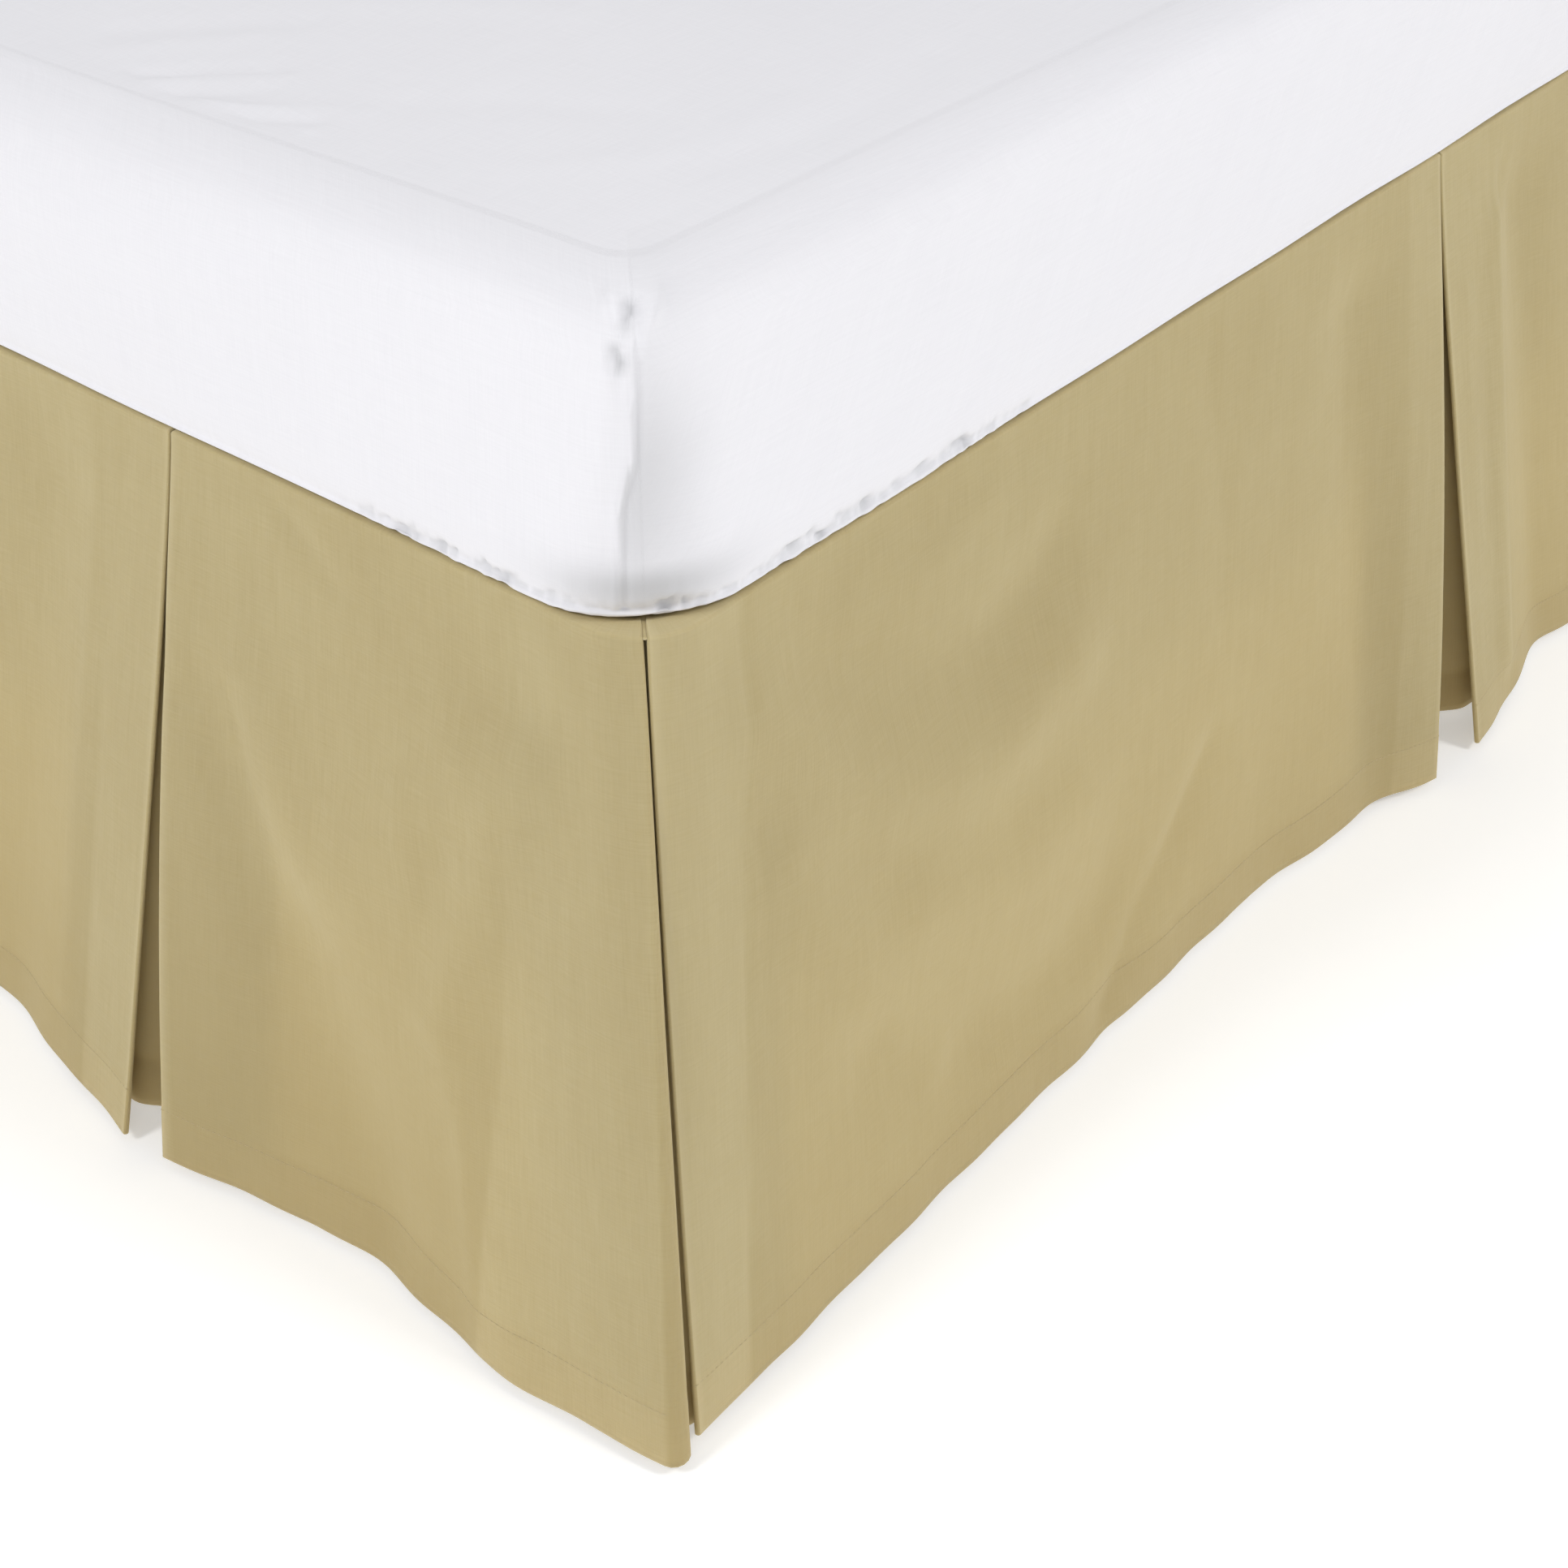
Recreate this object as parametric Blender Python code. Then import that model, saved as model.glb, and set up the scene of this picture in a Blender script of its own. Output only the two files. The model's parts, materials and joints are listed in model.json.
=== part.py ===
"""A pleated bed skirt hanging from a box spring, under a mattress in its fitted sheet.

Metres, +Z up. The bed's length runs along Y with the foot towards -Y, and its width along X.
The skirt covers the foot and both long sides, and the head end is open. The origin is on the
floor, at the middle of everything that is built.
"""
from collections import namedtuple
from functools import lru_cache
import math

import bmesh
import bpy

# The bed
BED_WIDTH = 0.990
BED_LENGTH = 1.905
SKIRT_TOP = 0.375
MATTRESS_THICKNESS = 0.155
MATTRESS_OVERHANG = 0.008
BOX_SPRING_HEIGHT = 0.200
BOX_SPRING_EDGE = 0.006
BOX_SPRING_FOOT_CORNER = 0.050
BOX_SPRING_HEAD_CORNER = 0.012
LEG_SIDES = 16
LEG_TOP_RADIUS = 0.028
LEG_FOOT_RADIUS = 0.022
LEG_SIDE_INSET = 0.090
LEG_END_INSET = 0.105
LEG_ROWS = ("foot", "middle", "head")

# The cloth
CLOTH = 0.0015
GAP = 0.0003
LAYER = CLOTH + 2 * GAP
EDGE_CLEARANCE = 0.002
STACK = EDGE_CLEARANCE + 2 * LAYER + CLOTH / 2
HEM_HEIGHT = 0.006
STATION_SPACING = 0.030
RETURN_SPANS = (2.5, 2.0, 1.0)
LAP_SPANS = (2.5, 2.0)
RETURN_SPREAD = 0.009
LAP_EASE = 0.003
LAP_EASE_LEVEL = 0.08
SLOPE_STEP = 0.002
FOLD_TURNS = (-90, -30, 30)
CORNER_TURNS = (0, 30, 60, 90)
SHOULDER_REACH = 0.016
TOP_CORNER = 0.035
CORNER_GAP = 0.0122
CORNER_UNDERLAY_TOP = 0.0072
CORNER_UNDERLAY_RADIUS = 0.031
PRESSED = LAYER / 2
FLARE_POWER = 1.1
EDGE_LIFT_POWER = 1.35
HEAD_END = BED_LENGTH + STACK
FOOT_END = BED_WIDTH + 2 * STACK
DROP_LEVELS = (0.0, 0.08, 0.22, 0.38, 0.55, 0.72, 0.87, 1.0)
FOLD_FADE = 0.060

HALF_X = BED_WIDTH / 2 + STACK
HALF_Y = BED_LENGTH / 2 + STACK
DECK_BOTTOM = SKIRT_TOP - CLOTH
DROP_TOP = DECK_BOTTOM - GAP
BOX_SPRING_TOP = DECK_BOTTOM - GAP
BOX_SPRING_BOTTOM = BOX_SPRING_TOP - BOX_SPRING_HEIGHT

# An edge of a panel: where it is along the face at the top and at the hem, how far it stands
# out at the hem, and the radius that its fold rolls to there. A hemmed end has no fold.
Edge = namedtuple("Edge", "top_along hem_along hem_out roll")
Panel = namedtuple("Panel", "name face start end belly_out start_reach end_reach")
PANELS = (
    Panel("foot_panel_right", "foot", Edge(CORNER_GAP, -0.079, 0.083, 0.0075),
          Edge(0.2997, 0.263, 0.107, PRESSED), 0.0902, 0.050, 0.100),
    Panel("foot_panel_middle", "foot", Edge(0.3003, 0.290, 0.109, PRESSED),
          Edge(0.7036, 0.708, 0.106, PRESSED), 0.081, 0.190, 0.150),
    Panel("foot_panel_left", "foot", Edge(0.7042, 0.738, 0.105, PRESSED),
          Edge(FOOT_END - CORNER_GAP, FOOT_END + 0.074, 0.081, 0.0070), 0.088, 0.110, 0.060),
    Panel("right_panel_foot", "right", Edge(CORNER_GAP, -0.057, 0.0715, PRESSED),
          Edge(0.6897, 0.624, 0.096, PRESSED), 0.066, 0.300, 0.180),
    Panel("right_panel_middle", "right", Edge(0.6903, 0.674, 0.102, PRESSED),
          Edge(1.2217, 1.222, 0.098, PRESSED), 0.085, 0.140, 0.160),
    Panel("right_panel_head", "right", Edge(1.2223, 1.262, 0.093, PRESSED),
          Edge(HEAD_END, HEAD_END - 0.004, 0.071, None), 0.064, 0.170, 0.120),
    Panel("left_panel_foot", "left", Edge(CORNER_GAP, -0.054, 0.0725, PRESSED),
          Edge(0.6897, 0.636, 0.094, PRESSED), 0.067, 0.240, 0.170),
    Panel("left_panel_middle", "left", Edge(0.6903, 0.681, 0.100, PRESSED),
          Edge(1.2217, 1.214, 0.102, PRESSED), 0.082, 0.160, 0.150),
    Panel("left_panel_head", "left", Edge(1.2223, 1.256, 0.096, PRESSED),
          Edge(HEAD_END, HEAD_END - 0.006, 0.069, None), 0.066, 0.160, 0.100),
)

# The cloth behind each pleat, sewn to the turned-back edges of two panels. Its middle is
# pressed into a crease, and its hem stands out by other amounts on each side of the crease.
Underlay = namedtuple("Underlay", "name before after crease_top crease_hem before_out crease_out after_out")
UNDERLAYS = (
    Underlay("foot_pleat_right", "foot_panel_right", "foot_panel_middle", 0.300, 0.288, 0.079, 0.079, 0.091),
    Underlay("foot_pleat_left", "foot_panel_middle", "foot_panel_left", 0.704, 0.722, 0.086, 0.076, 0.077),
    Underlay("right_pleat_foot", "right_panel_foot", "right_panel_middle", 0.690, 0.688, 0.058, 0.060, 0.075),
    Underlay("right_pleat_head", "right_panel_middle", "right_panel_head", 1.222, 1.243, 0.072, 0.062, 0.064),
    Underlay("left_pleat_foot", "left_panel_foot", "left_panel_middle", 0.690, 0.692, 0.060, 0.061, 0.074),
    Underlay("left_pleat_head", "left_panel_middle", "left_panel_head", 1.222, 1.236, 0.073, 0.063, 0.066),
)
CornerUnderlay = namedtuple("CornerUnderlay", "name foot_panel foot_edge side_panel reach_out round_radius")
CORNER_UNDERLAYS = (
    CornerUnderlay("corner_pleat_right", "foot_panel_right", "start", "right_panel_foot", 0.065, 0.008),
    CornerUnderlay("corner_pleat_left", "foot_panel_left", "end", "left_panel_foot", 0.063, 0.009),
)

# Soft folds in the panels. height is above the cloth, so a trough is negative. The path is
# by hand: distance along the face, and distance down from the skirt's top.
Fold = namedtuple("Fold", "panel height width path")
FOLDS = (
    Fold("foot_panel_right", 0.0045, 0.022, ((0.244, 0.110), (0.180, 0.180), (0.095, 0.090))),
    Fold("foot_panel_right", -0.0045, 0.020, ((0.255, 0.120), (0.205, 0.190), (0.139, 0.255), (0.060, 0.345))),
    Fold("foot_panel_right", 0.0040, 0.014, ((0.061, 0.075), (0.093, 0.215))),
    Fold("foot_panel_right", 0.0035, 0.024, ((0.073, 0.244), (0.020, 0.375))),
    Fold("foot_panel_right", -0.0020, 0.040, ((0.190, 0.290), (0.130, 0.375))),
    Fold("foot_panel_middle", -0.0035, 0.035, ((0.390, 0.010), (0.408, 0.200), (0.430, 0.375))),
    Fold("foot_panel_middle", 0.0050, 0.030, ((0.500, 0.060), (0.520, 0.200), (0.505, 0.375))),
    Fold("foot_panel_middle", -0.0060, 0.035, ((0.610, 0.040), (0.590, 0.220), (0.580, 0.375))),
    Fold("foot_panel_left", -0.0050, 0.025, ((0.790, 0.060), (0.850, 0.190), (0.860, 0.375))),
    Fold("foot_panel_left", 0.0040, 0.020, ((0.920, 0.050), (0.930, 0.230), (0.955, 0.375))),
    Fold("right_panel_foot", 0.0025, 0.014, ((0.057, 0.020), (0.010, 0.220), (-0.022, 0.375))),
    Fold("right_panel_foot", -0.0045, 0.022, ((0.085, 0.010), (0.144, 0.062), (0.205, 0.060), (0.245, 0.015))),
    Fold("right_panel_foot", 0.0055, 0.026, ((0.066, 0.020), (0.137, 0.098), (0.238, 0.110), (0.350, 0.085))),
    Fold("right_panel_foot", -0.0045, 0.030, ((0.105, 0.163), (0.150, 0.212), (0.246, 0.232))),
    Fold("right_panel_foot", 0.0035, 0.026, ((0.060, 0.090), (0.072, 0.160), (0.174, 0.284))),
    Fold("right_panel_foot", -0.0030, 0.014, ((0.414, 0.257), (0.291, 0.358))),
    Fold("right_panel_foot", -0.0032, 0.030, ((0.600, 0.050), (0.597, 0.222), (0.567, 0.375))),
    Fold("right_panel_middle", 0.0030, 0.016, ((0.762, 0.060), (0.739, 0.337))),
    Fold("right_panel_middle", -0.0050, 0.032, ((0.800, 0.050), (0.811, 0.220), (0.805, 0.375))),
    Fold("right_panel_middle", 0.0050, 0.035, ((0.930, 0.060), (0.950, 0.210), (0.930, 0.375))),
    Fold("right_panel_middle", -0.0060, 0.040, ((1.080, 0.050), (1.060, 0.220), (1.085, 0.375))),
    Fold("right_panel_head", -0.0055, 0.032, ((1.330, 0.050), (1.345, 0.210), (1.350, 0.375))),
    Fold("right_panel_head", 0.0050, 0.028, ((1.420, 0.030), (1.500, 0.120), (1.600, 0.120), (1.680, 0.050))),
    Fold("right_panel_head", -0.0050, 0.035, ((1.640, 0.170), (1.700, 0.280), (1.690, 0.375))),
    Fold("left_panel_foot", 0.0050, 0.026, ((0.080, 0.030), (0.160, 0.110), (0.270, 0.100))),
    Fold("left_panel_foot", -0.0050, 0.030, ((0.330, 0.080), (0.370, 0.220), (0.360, 0.375))),
    Fold("left_panel_foot", -0.0060, 0.030, ((0.580, 0.060), (0.585, 0.220), (0.560, 0.375))),
    Fold("left_panel_middle", -0.0055, 0.032, ((0.790, 0.060), (0.800, 0.220), (0.795, 0.375))),
    Fold("left_panel_middle", 0.0050, 0.030, ((0.930, 0.040), (0.960, 0.160), (1.010, 0.240))),
    Fold("left_panel_middle", -0.0055, 0.032, ((1.110, 0.070), (1.095, 0.220), (1.100, 0.375))),
    Fold("left_panel_head", -0.0055, 0.032, ((1.320, 0.060), (1.340, 0.220), (1.345, 0.375))),
    Fold("left_panel_head", 0.0045, 0.026, ((1.480, 0.040), (1.540, 0.130), (1.640, 0.130))),
    Fold("left_panel_head", -0.0045, 0.034, ((1.740, 0.120), (1.720, 0.250), (1.735, 0.375))),
)

# The fitted sheet's section, from its elastic hem under the mattress, round the bottom edge,
# up the side and over the top. inset is in from the lowest part of its side.
SheetRow = namedtuple("SheetRow", "inset height corner_radius")
SHEET_TOP = SKIRT_TOP + MATTRESS_THICKNESS
SHEET_BOTTOM = SKIRT_TOP + GAP
SHEET_ROWS = (
    SheetRow(0.0450, SHEET_BOTTOM, 0.050),
    SheetRow(0.0080, SHEET_BOTTOM, 0.062),
    SheetRow(0.0024, SHEET_BOTTOM + 0.0024, 0.062),
    SheetRow(0.0, SHEET_BOTTOM + 0.008, 0.060),
    SheetRow(-0.0010, SHEET_BOTTOM + 0.040, 0.048),
    SheetRow(-0.0010, SHEET_BOTTOM + 0.090, 0.032),
    SheetRow(0.0, SHEET_TOP - 0.024, 0.020),
    SheetRow(0.0055, SHEET_TOP - 0.009, 0.017),
    SheetRow(0.0190, SHEET_TOP - 0.001, 0.016),
    SheetRow(0.0500, SHEET_TOP, 0.016),
)
CORNER_STEPS = 6
DECK_HEAD_CORNER = 0.004

KHAKI = (0.515, 0.418, 0.223)
SHEET_WHITE = (0.900, 0.905, 0.930)
TICKING = (0.780, 0.760, 0.700)
DARK_WOOD = (0.050, 0.032, 0.022)

PANEL_BY_NAME = {panel.name: panel for panel in PANELS}


def remove_everything():
    """Start from an empty scene."""
    for item in list(bpy.data.objects):
        bpy.data.objects.remove(item, do_unlink=True)


def make_material(name, colour, roughness, metallic=0.0):
    """A plain Principled finish."""
    material = bpy.data.materials.new(name)
    material.use_nodes = True
    shader = material.node_tree.nodes["Principled BSDF"]
    shader.inputs["Base Color"].default_value = (*colour, 1.0)
    shader.inputs["Roughness"].default_value = roughness
    shader.inputs["Metallic"].default_value = metallic
    return material


def skirt_material():
    """Khaki cotton blend, smooth and matt."""
    return make_material("khaki_cotton", KHAKI, 0.85)


def sheet_material():
    """White jersey of the fitted sheet."""
    return make_material("white_sheet", SHEET_WHITE, 0.80)


def mattress_material():
    """Pale cover of the mattress."""
    return make_material("mattress_cover", TICKING, 0.85)


def box_spring_material():
    """Pale cover of the box spring."""
    return make_material("box_spring_cover", TICKING, 0.88)


def leg_material():
    """Dark stained wood."""
    return make_material("dark_wood", DARK_WOOD, 0.45)


def add_object(name, mesh_data, material):
    """Turn a bmesh into a named object with its faces pointing out."""
    bmesh.ops.recalc_face_normals(mesh_data, faces=mesh_data.faces)
    mesh = bpy.data.meshes.new(name)
    mesh_data.to_mesh(mesh)
    mesh_data.free()
    mesh.materials.append(material)
    item = bpy.data.objects.new(name, mesh)
    bpy.context.scene.collection.objects.link(item)
    return item


def face_to_world(face, along, out, height):
    """A point given along a face of the bed and out from it, as x, y and z."""
    if face == "foot":
        return HALF_X - along, -HALF_Y - out, height
    if face == "right":
        return HALF_X + out, -HALF_Y + along, height
    return -HALF_X - out, -HALF_Y + along, height


def flare(level):
    """How much of the hem's flare the drop has reached at a level, 0 at its top and 1 at its hem."""
    return level ** FLARE_POWER


def blend(first, last, share):
    return first + (last - first) * share


def distance_to_path(along, drop, path):
    """Distance on the cloth from a point to a fold's hand-placed path."""
    nearest = None
    for (a0, d0), (a1, d1) in zip(path, path[1:]):
        length_squared = (a1 - a0) ** 2 + (d1 - d0) ** 2
        share = ((along - a0) * (a1 - a0) + (drop - d0) * (d1 - d0)) / length_squared
        share = min(max(share, 0.0), 1.0)
        distance = math.hypot(along - blend(a0, a1, share), drop - blend(d0, d1, share))
        nearest = distance if nearest is None else min(nearest, distance)
    return nearest


def fold_relief(panel, along, level):
    """Height of the soft folds over the smooth drop."""
    drop = level * DROP_TOP
    relief = 0.0
    for fold in FOLDS:
        if fold.panel == panel.name:
            distance = distance_to_path(along, drop, fold.path)
            relief += fold.height * math.exp(-(distance / fold.width) ** 2)
    return relief * min(drop / FOLD_FADE, 1.0)


def edge_along(edge, level):
    """Where a panel's edge is along its face at a level."""
    return blend(edge.top_along, edge.hem_along, flare(level))


def edge_roll(edge, level):
    """The radius of an edge's fold at a level."""
    return blend(PRESSED, edge.roll, flare(level))


def edge_lift(distance, reach):
    """How much of an edge's extra flare is left at a distance from it."""
    return max(1.0 - distance / reach, 0.0) ** EDGE_LIFT_POWER


def corner_inset(panel, along):
    """How far the skirt's top line is drawn in where it rounds the bed's foot corners."""
    from_corner = along
    if panel.face == "foot":
        from_corner = min(along, FOOT_END - along)
    beyond = max(TOP_CORNER - from_corner, 0.0)
    return TOP_CORNER - math.sqrt(TOP_CORNER ** 2 - beyond ** 2)


def front_out(panel, along, level):
    """How far the front of a panel stands out from the top line of the drop."""
    start = edge_along(panel.start, level)
    end = edge_along(panel.end, level)
    share = (along - start) / (end - start)
    hem_along = blend(panel.start.hem_along, panel.end.hem_along, share)
    hem_out = panel.belly_out
    start_lift = panel.start.hem_out - panel.belly_out
    end_lift = panel.end.hem_out - panel.belly_out
    hem_out += start_lift * edge_lift(hem_along - panel.start.hem_along, panel.start_reach)
    hem_out += end_lift * edge_lift(panel.end.hem_along - hem_along, panel.end_reach)
    top_out = -corner_inset(panel, blend(panel.start.top_along, panel.end.top_along, share))
    return blend(top_out, hem_out, flare(level)) + fold_relief(panel, along, level)


def fold_centre(edge, level, inward):
    """Where the front of a panel begins along the face. inward is 1 at a start edge and -1 at an end."""
    if edge.roll is None:
        return edge_along(edge, level)
    return edge_along(edge, level) + inward * (CLOTH / 2 + edge_roll(edge, level))


@lru_cache(maxsize=None)
def front_line(panel, level):
    """The stations along the front of a panel at one level."""
    first = fold_centre(panel.start, level, 1)
    last = fold_centre(panel.end, level, -1)
    spans = math.ceil((panel.end.top_along - panel.start.top_along) / STATION_SPACING)
    line = []
    for index in range(spans + 1):
        along = blend(first, last, index / spans)
        line.append((along, front_out(panel, along, level)))
    return line


def front_at(panel, along, level):
    """The front of a panel between its stations, which stand at even steps."""
    line = front_line(panel, level)
    step = line[1][0] - line[0][0]
    index = min(max(int((along - line[0][0]) / step), 0), len(line) - 2)
    share = (along - line[index][0]) / step
    return blend(line[index][1], line[index + 1][1], share)


def behind_front(panel, along, level, depth):
    """A point at a depth behind the front of a panel, square to it."""
    ahead = front_at(panel, along + SLOPE_STEP, level)
    behind = front_at(panel, along - SLOPE_STEP, level)
    slope = (ahead - behind) / (2 * SLOPE_STEP)
    size = math.hypot(slope, 1.0)
    return along + depth * slope / size, front_at(panel, along, level) - depth / size


def return_point(panel, edge, level, inward, spans, extra=0.0):
    """A point of the turned-back cloth, some station steps from its fold, or extra behind it."""
    line = front_line(panel, level)
    along = fold_centre(edge, level, inward) + inward * spans * (line[1][0] - line[0][0])
    depth = 2 * edge_roll(edge, level) + RETURN_SPREAD * flare(level) * spans / RETURN_SPANS[0]
    return behind_front(panel, along, level, depth + extra)


def lap_gap(level):
    """How far an underlay lies behind the turned-back cloth: sewn tight at its top, then easier."""
    return LAYER + LAP_EASE * min(level / LAP_EASE_LEVEL, 1.0)


def folded_edge(panel, edge, level, inward):
    """The turned-back cloth and its fold, from the raw edge behind the panel to its front."""
    centre = fold_centre(edge, level, inward)
    radius = edge_roll(edge, level)
    points = [return_point(panel, edge, level, inward, spans) for spans in RETURN_SPANS]
    middle = behind_front(panel, centre, level, radius)
    front = behind_front(panel, centre, level, 0.0)
    normal = ((front[0] - middle[0]) / radius, (front[1] - middle[1]) / radius)
    outward = (-inward * normal[1], inward * normal[0])
    for turn in FOLD_TURNS:
        across = radius * math.cos(math.radians(turn))
        up = radius * math.sin(math.radians(turn))
        points.append((middle[0] + outward[0] * across + normal[0] * up,
                       middle[1] + outward[1] * across + normal[1] * up))
    return points


def panel_line(panel, level):
    """The middle of the cloth of a panel at one level, from one raw edge to the other."""
    before = []
    after = []
    if panel.start.roll is not None:
        before = folded_edge(panel, panel.start, level, 1)
    if panel.end.roll is not None:
        after = folded_edge(panel, panel.end, level, -1)[::-1]
    return before + front_line(panel, level) + after


def underlay_line(underlay, level):
    """The middle of the cloth behind a pleat at one level."""
    before = PANEL_BY_NAME[underlay.before]
    after = PANEL_BY_NAME[underlay.after]
    crease = blend(underlay.crease_top, underlay.crease_hem, flare(level))
    outs = [blend(-2 * LAYER, hem_out, flare(level))
            for hem_out in (underlay.before_out, underlay.crease_out, underlay.after_out)]
    gap = lap_gap(level)
    first = [return_point(before, before.end, level, -1, spans, gap) for spans in LAP_SPANS]
    last = [return_point(after, after.start, level, 1, spans, gap) for spans in LAP_SPANS]
    alongs = (crease - SHOULDER_REACH, crease, crease + SHOULDER_REACH)
    return first + list(zip(alongs, outs)) + last[::-1]


def offset_line(points, distance):
    """A line beside another, at an even distance to its left."""
    result = []
    for index, (x, y) in enumerate(points):
        before = points[max(index - 1, 0)]
        after = points[min(index + 1, len(points) - 1)]
        normals = []
        for (x0, y0), (x1, y1) in ((before, (x, y)), ((x, y), after)):
            length = math.hypot(x1 - x0, y1 - y0)
            if length > 0.0:
                normals.append(((y0 - y1) / length, (x1 - x0) / length))
        nx = sum(normal[0] for normal in normals) / len(normals)
        ny = sum(normal[1] for normal in normals) / len(normals)
        square = nx * nx + ny * ny
        result.append((x + distance * nx / square, y + distance * ny / square))
    return result


def cloth_from_lines(name, lines, place, material):
    """A sheet of cloth through one line for each level, with its own thickness."""
    mesh_data = bmesh.new()
    rings = []
    for level, points in zip(DROP_LEVELS, lines):
        height = blend(DROP_TOP, HEM_HEIGHT, level)
        section = offset_line(points, CLOTH / 2) + offset_line(points, -CLOTH / 2)[::-1]
        rings.append([mesh_data.verts.new(place(along, out, height)) for along, out in section])
    count = len(rings[0])
    for upper, lower in zip(rings, rings[1:]):
        for index in range(count):
            following = (index + 1) % count
            mesh_data.faces.new((upper[index], upper[following], lower[following], lower[index]))
    for ring in (rings[0], rings[-1]):
        for index in range(count // 2 - 1):
            opposite = count - 1 - index
            mesh_data.faces.new((ring[index], ring[index + 1], ring[opposite - 1], ring[opposite]))
    return add_object(name, mesh_data, material)


def make_panel(panel, material):
    """One flat panel of the drop with its hem and its turned-back pleat edges."""
    lines = [panel_line(panel, level) for level in DROP_LEVELS]

    def place(along, out, height):
        return face_to_world(panel.face, along, out, height)

    return cloth_from_lines(panel.name, lines, place, material)


def make_underlay(underlay, material):
    """The cloth behind a pleat on one face."""
    lines = [underlay_line(underlay, level) for level in DROP_LEVELS]
    face = PANEL_BY_NAME[underlay.before].face

    def place(along, out, height):
        return face_to_world(face, along, out, height)

    return cloth_from_lines(underlay.name, lines, place, material)


def corner_line(underlay, level):
    """The cloth behind a corner pleat at one level, in x and y, from the foot to the side."""
    foot_panel = PANEL_BY_NAME[underlay.foot_panel]
    side_panel = PANEL_BY_NAME[underlay.side_panel]
    if underlay.foot_edge == "start":
        foot_edge = foot_panel.start
        inward = 1
        side = 1
    else:
        foot_edge = foot_panel.end
        inward = -1
        side = -1
    points = []
    for spans in LAP_SPANS:
        along, out = return_point(foot_panel, foot_edge, level, inward, spans, lap_gap(level))
        points.append(face_to_world("foot", along, out, 0.0)[:2])
    reach = blend(-CORNER_UNDERLAY_TOP, underlay.reach_out, flare(level))
    radius = blend(CORNER_UNDERLAY_RADIUS, underlay.round_radius, flare(level))
    for turn in CORNER_TURNS:
        across = radius * math.sin(math.radians(turn)) - radius
        down = radius * math.cos(math.radians(turn)) - radius
        points.append((side * (HALF_X + reach + across), -(HALF_Y + reach + down)))
    for spans in LAP_SPANS[::-1]:
        along, out = return_point(side_panel, side_panel.start, level, 1, spans, lap_gap(level))
        points.append(face_to_world(side_panel.face, along, out, 0.0)[:2])
    return points


def make_corner_underlay(underlay, material):
    """The cloth behind a corner pleat, bent round the corner of the bed."""
    lines = [corner_line(underlay, level) for level in DROP_LEVELS]

    def place(x, y, height):
        return x, y, height

    return cloth_from_lines(underlay.name, lines, place, material)


def rounded_ring(half_x, half_y, radius, height):
    """Points round a rectangle with round corners, at one height."""
    points = []
    for corner, (sign_x, sign_y) in enumerate(((1, 1), (-1, 1), (-1, -1), (1, -1))):
        for step in range(CORNER_STEPS + 1):
            angle = math.radians(90 * corner + 90 * step / CORNER_STEPS)
            points.append((sign_x * (half_x - radius) + radius * math.cos(angle),
                           sign_y * (half_y - radius) + radius * math.sin(angle), height))
    return points


def shell_from_rows(rows):
    """An open shell through rings of (inset, height, corner radius), closed over its last ring."""
    mesh_data = bmesh.new()
    rings = []
    for inset, height, radius in rows:
        half_x = BED_WIDTH / 2 + MATTRESS_OVERHANG - inset
        half_y = BED_LENGTH / 2 + MATTRESS_OVERHANG - inset
        rings.append([mesh_data.verts.new(point) for point in rounded_ring(half_x, half_y, radius, height)])
    for lower, upper in zip(rings, rings[1:]):
        for index in range(len(lower)):
            following = (index + 1) % len(lower)
            mesh_data.faces.new((lower[index], lower[following], upper[following], upper[index]))
    mesh_data.faces.new(rings[-1])
    return mesh_data, rings


def make_fitted_sheet(material):
    """The fitted sheet, open underneath, with its hem drawn in under the mattress."""
    mesh_data, _ = shell_from_rows(SHEET_ROWS)
    sheet = add_object("fitted_sheet", mesh_data, material)
    thickness = sheet.modifiers.new("cloth", "SOLIDIFY")
    thickness.thickness = CLOTH
    thickness.offset = -1.0
    thickness.use_even_offset = True
    return sheet


def make_mattress(material):
    """The mattress, a little inside its fitted sheet."""
    section = [(row.inset, row.height) for row in SHEET_ROWS]
    inner = offset_line(section, -(CLOTH + 2 * GAP))
    rows = []
    for row, (inset, height) in zip(SHEET_ROWS, inner):
        rows.append((inset, height, row.corner_radius - CLOTH))
    mesh_data, rings = shell_from_rows(rows)
    mesh_data.faces.new(rings[0][::-1])
    return add_object("mattress", mesh_data, material)


def add_slab(name, half_x, low_y, high_y, foot_corner, head_corner, low_z, high_z, material):
    """An upright prism over a rectangle whose foot and head corners are rounded."""
    mesh_data = bmesh.new()
    rings = [[], []]
    centres = (
        (half_x - head_corner, high_y - head_corner, head_corner),
        (head_corner - half_x, high_y - head_corner, head_corner),
        (foot_corner - half_x, low_y + foot_corner, foot_corner),
        (half_x - foot_corner, low_y + foot_corner, foot_corner),
    )
    for corner, (x, y, radius) in enumerate(centres):
        for step in range(CORNER_STEPS + 1):
            angle = math.radians(90 * corner + 90 * step / CORNER_STEPS)
            for ring, height in zip(rings, (low_z, high_z)):
                point = (x + radius * math.cos(angle), y + radius * math.sin(angle), height)
                ring.append(mesh_data.verts.new(point))
    bottom, top = rings
    for index in range(len(bottom)):
        following = (index + 1) % len(bottom)
        mesh_data.faces.new((bottom[index], bottom[following], top[following], top[index]))
    mesh_data.faces.new(top)
    mesh_data.faces.new(bottom[::-1])
    return add_object(name, mesh_data, material)


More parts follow.
